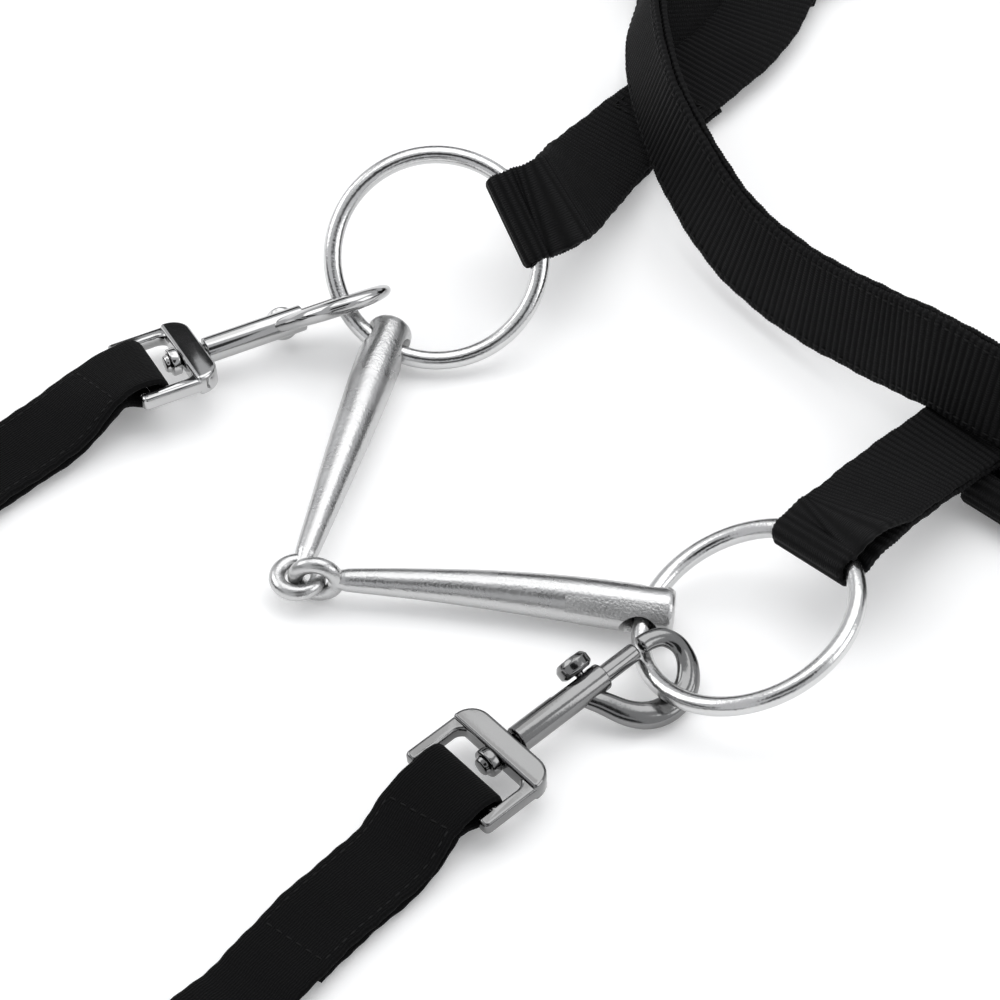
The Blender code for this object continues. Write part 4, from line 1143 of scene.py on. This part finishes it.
def make_chin():
    reach = 0.0032 + SLIDE_SLOT
    front = CHIN_SLIDE.translation - Y * reach
    route = Route([(front, X), (front + Y * 0.020, X), (lay(83, 112, 6.0), X),
                   (lay(76, 146, 6.0), unit(0.98, 0.2, 0))])
    profile = [(0.026, -0.0030), (0.0090, -0.0030), (0.0056, -0.0026), (0.0036, -0.0008),
               (0.0029, 0.0010), (0.0022, 0.0022), (0.0009, 0.0027), (-0.0009, 0.0027),
               (-0.0022, 0.0022), (-0.0029, 0.0010), (-0.0031, -0.0010), (-0.0027, -0.0031),
               (-0.0012, -0.0046), (0.0010, -0.0051), (route.length, -0.0051)]
    strap("chin_strap_near_web", route, profile, "chin_strap_near")
    billet = Route([(lay(-69, 150, 0.9), unit(0.75, 0.66, 0)),
                    (lay(-92, 172, 0.9), unit(0.75, 0.66, 0)),
                    (lay(-106, 186, 0.9), unit(0.75, 0.66, 0))])
    strap("chin_strap_off_web", billet, [(0.0, 0.0), (billet.length, 0.0)], "chin_strap_off",
          CUT_END)


def make_cheeks():
    for side, low, high in (("off", OFF_NOSE, OFF_TEMPLE), ("near", NEAR_NOSE, NEAR_TEMPLE)):
        start, end = low + Y * BAR_OUT, high - Y * BAR_OUT
        middle = (start + end) / 2
        middle.z = 0.0040
        route = Route([*leads(start, Y, OFF_SQUARE, X), (middle, X),
                       *reversed(leads(end, -Y, OFF_SQUARE, X))])
        name = "cheek_strap_" + side
        strap(name + "_web", route, both_ends(route, SQUARE_TAIL), name)
        sewn(name + "_low", route, 0.014, 0.031)
        sewn(name + "_high", route, route.length - 0.031, route.length - 0.014)


def make_browband():
    first = OFF_TEMPLE + X * BAR_OUT
    last = NEAR_TEMPLE - X * BAR_OUT
    route = Route([
        *leads(first, X, OFF_SQUARE_TURNED, -Y),
        (lay(-36, 341, 10.4), unit(0, -0.7, 0.7)), edge(-29, 326, 1.8),
        edge(-31, 295, 1), edge(-27, 258, 1), edge(-12, 232, 1),
        edge(4, 228, 1), edge(19, 242, 1), edge(25, 272, 1), edge(24, 298, 1.8),
        (lay(31, 314, 10.4), unit(0, 0.7, 0.7)),
        *reversed(leads(last, -X, OFF_SQUARE_TURNED, Y))])
    strap("browband_web", route, both_ends(route, 0.014), "browband")


CROWN_SLIDE_AT = 0.046
CROWN_SLIDE_LIFT = 0.0014


def make_crown():
    first = OFF_TEMPLE + Y * BAR_OUT
    last = NEAR_TEMPLE + Y * BAR_OUT
    route = Route([
        *leads(last, Y, (*OFF_SQUARE, 0.062), X),
        (lay(70, 420, 9.5), unit(0.75, 0, 0.66)),
        edge(69, 446, 1.4), edge(56, 478, 1), edge(26, 502, 1), edge(-14, 506, 1),
        edge(-54, 488, 1), edge(-76, 458, 1.4), (lay(-81, 428, 9.5), unit(0.72, 0, 0.7)),
        *reversed(leads(first, Y, (*OFF_SQUARE, 0.034), X))])
    slot = CROWN_SLIDE_AT
    near = fold_profile(SQUARE_ROUND, WEB_THICK, slot - 0.014, slot - 0.014)
    clear = SLIDE_BAR + GAP + WEB_THICK / 2 + 0.0002
    lift = [(0.0095, -clear), (0.0064, -clear), (0.0050, -0.0012), (0.0036, 0.0012),
            (0.0022, clear), (0.0, clear + 0.0003)]
    weave = [(-place, height) for place, height in lift] + list(reversed(lift[:-1]))
    weave = [(slot + place, CROWN_SLIDE_LIFT + height) for place, height in weave]
    far = from_end(route, fold_profile(SQUARE_ROUND, WEB_THICK, SQUARE_TAIL, 0.060))
    strap("crown_strap_web", route, near + weave + far, "crown_strap")
    sewn("crown_thread", route, 0.014, 0.029)
    sewn("crown_thread_far", route, route.length - 0.031, route.length - 0.014)


BUCKLE = lay(128, 318, 5.9)
BUCKLE_ROUND = 0.00234  # radius of a round bar that the fold would fit as it does the buckle's


def make_throatlatch():
    bar = NEAR_TEMPLE + X * BAR_OUT
    route = Route([*leads(bar, X, OFF_SQUARE, -Y), (BUCKLE - X * 0.012, -Y), (BUCKLE, -Y)])
    near = fold_profile(SQUARE_ROUND, WEB_THICK, 0.018, route.length / 2)
    far = from_end(route, fold_profile(BUCKLE_ROUND, WEB_THICK, 0.018, route.length / 2))
    short = strap("throat_buckle_web", route, near + far[1:], "throat_buckle_strap")
    cut(short, block("slit", (0.018, 0.0036, 0.03), (0.001, 0, 0.0), axes(BUCKLE, X, Y)))

    start = OFF_TEMPLE - X * BAR_OUT
    long = Route([
        *leads(start, -X, OFF_SQUARE_TURNED, Y),
        (lay(-121, 350, 9.8), unit(0, 0.7, 0.7)), edge(-131, 368, 1.4), edge(-130, 412, 1),
        edge(-118, 464, 1), edge(-86, 506, 1),
        edge(-38, 530, 1), edge(18, 534, 1), edge(66, 516, 1), edge(100, 478, 1),
        edge(115, 436, 1.4), (lay(120, 408, 9.5), unit(-0.7, 0, 0.7)),
        (lay(122, 384, 2.6), -X), (lay(123, 352, 1.2), -X)])
    near = fold_profile(SQUARE_ROUND, WEB_THICK, 0.020, 0.060)
    strap("throatlatch_web", long, near + [(0.066, 0.0), (long.length, 0.0)], "throatlatch",
          CUT_END)


# ---- carried-over hardware
def dress_nodes():
    """CAD pieces whose shape is right keep it and take the finished materials."""
    steel = ("nose_square_off", "nose_square_near", "temple_square_off", "temple_square_near",
             "chin_slide", "crown_slide", "throat_buckle_frame", "throat_roller",
             "throat_prong")
    for name in steel:
        dress_node(name, "steel")
    for name in ("rein_tie_off", "rein_tie_near", "throat_keeper"):
        dress_node(name, "tape")


def dress_node(name, look):
    obj = frame["nodes"][name]
    obj.data.materials.clear()
    obj.data.materials.append(LOOKS[look])


make_camera()
make_looks()
make_stage()
make_reins()
make_bit()
make_snaps()
make_hangers()
make_noseband()
make_chin()
make_cheeks()
make_browband()
make_crown()
make_throatlatch()
dress_nodes()
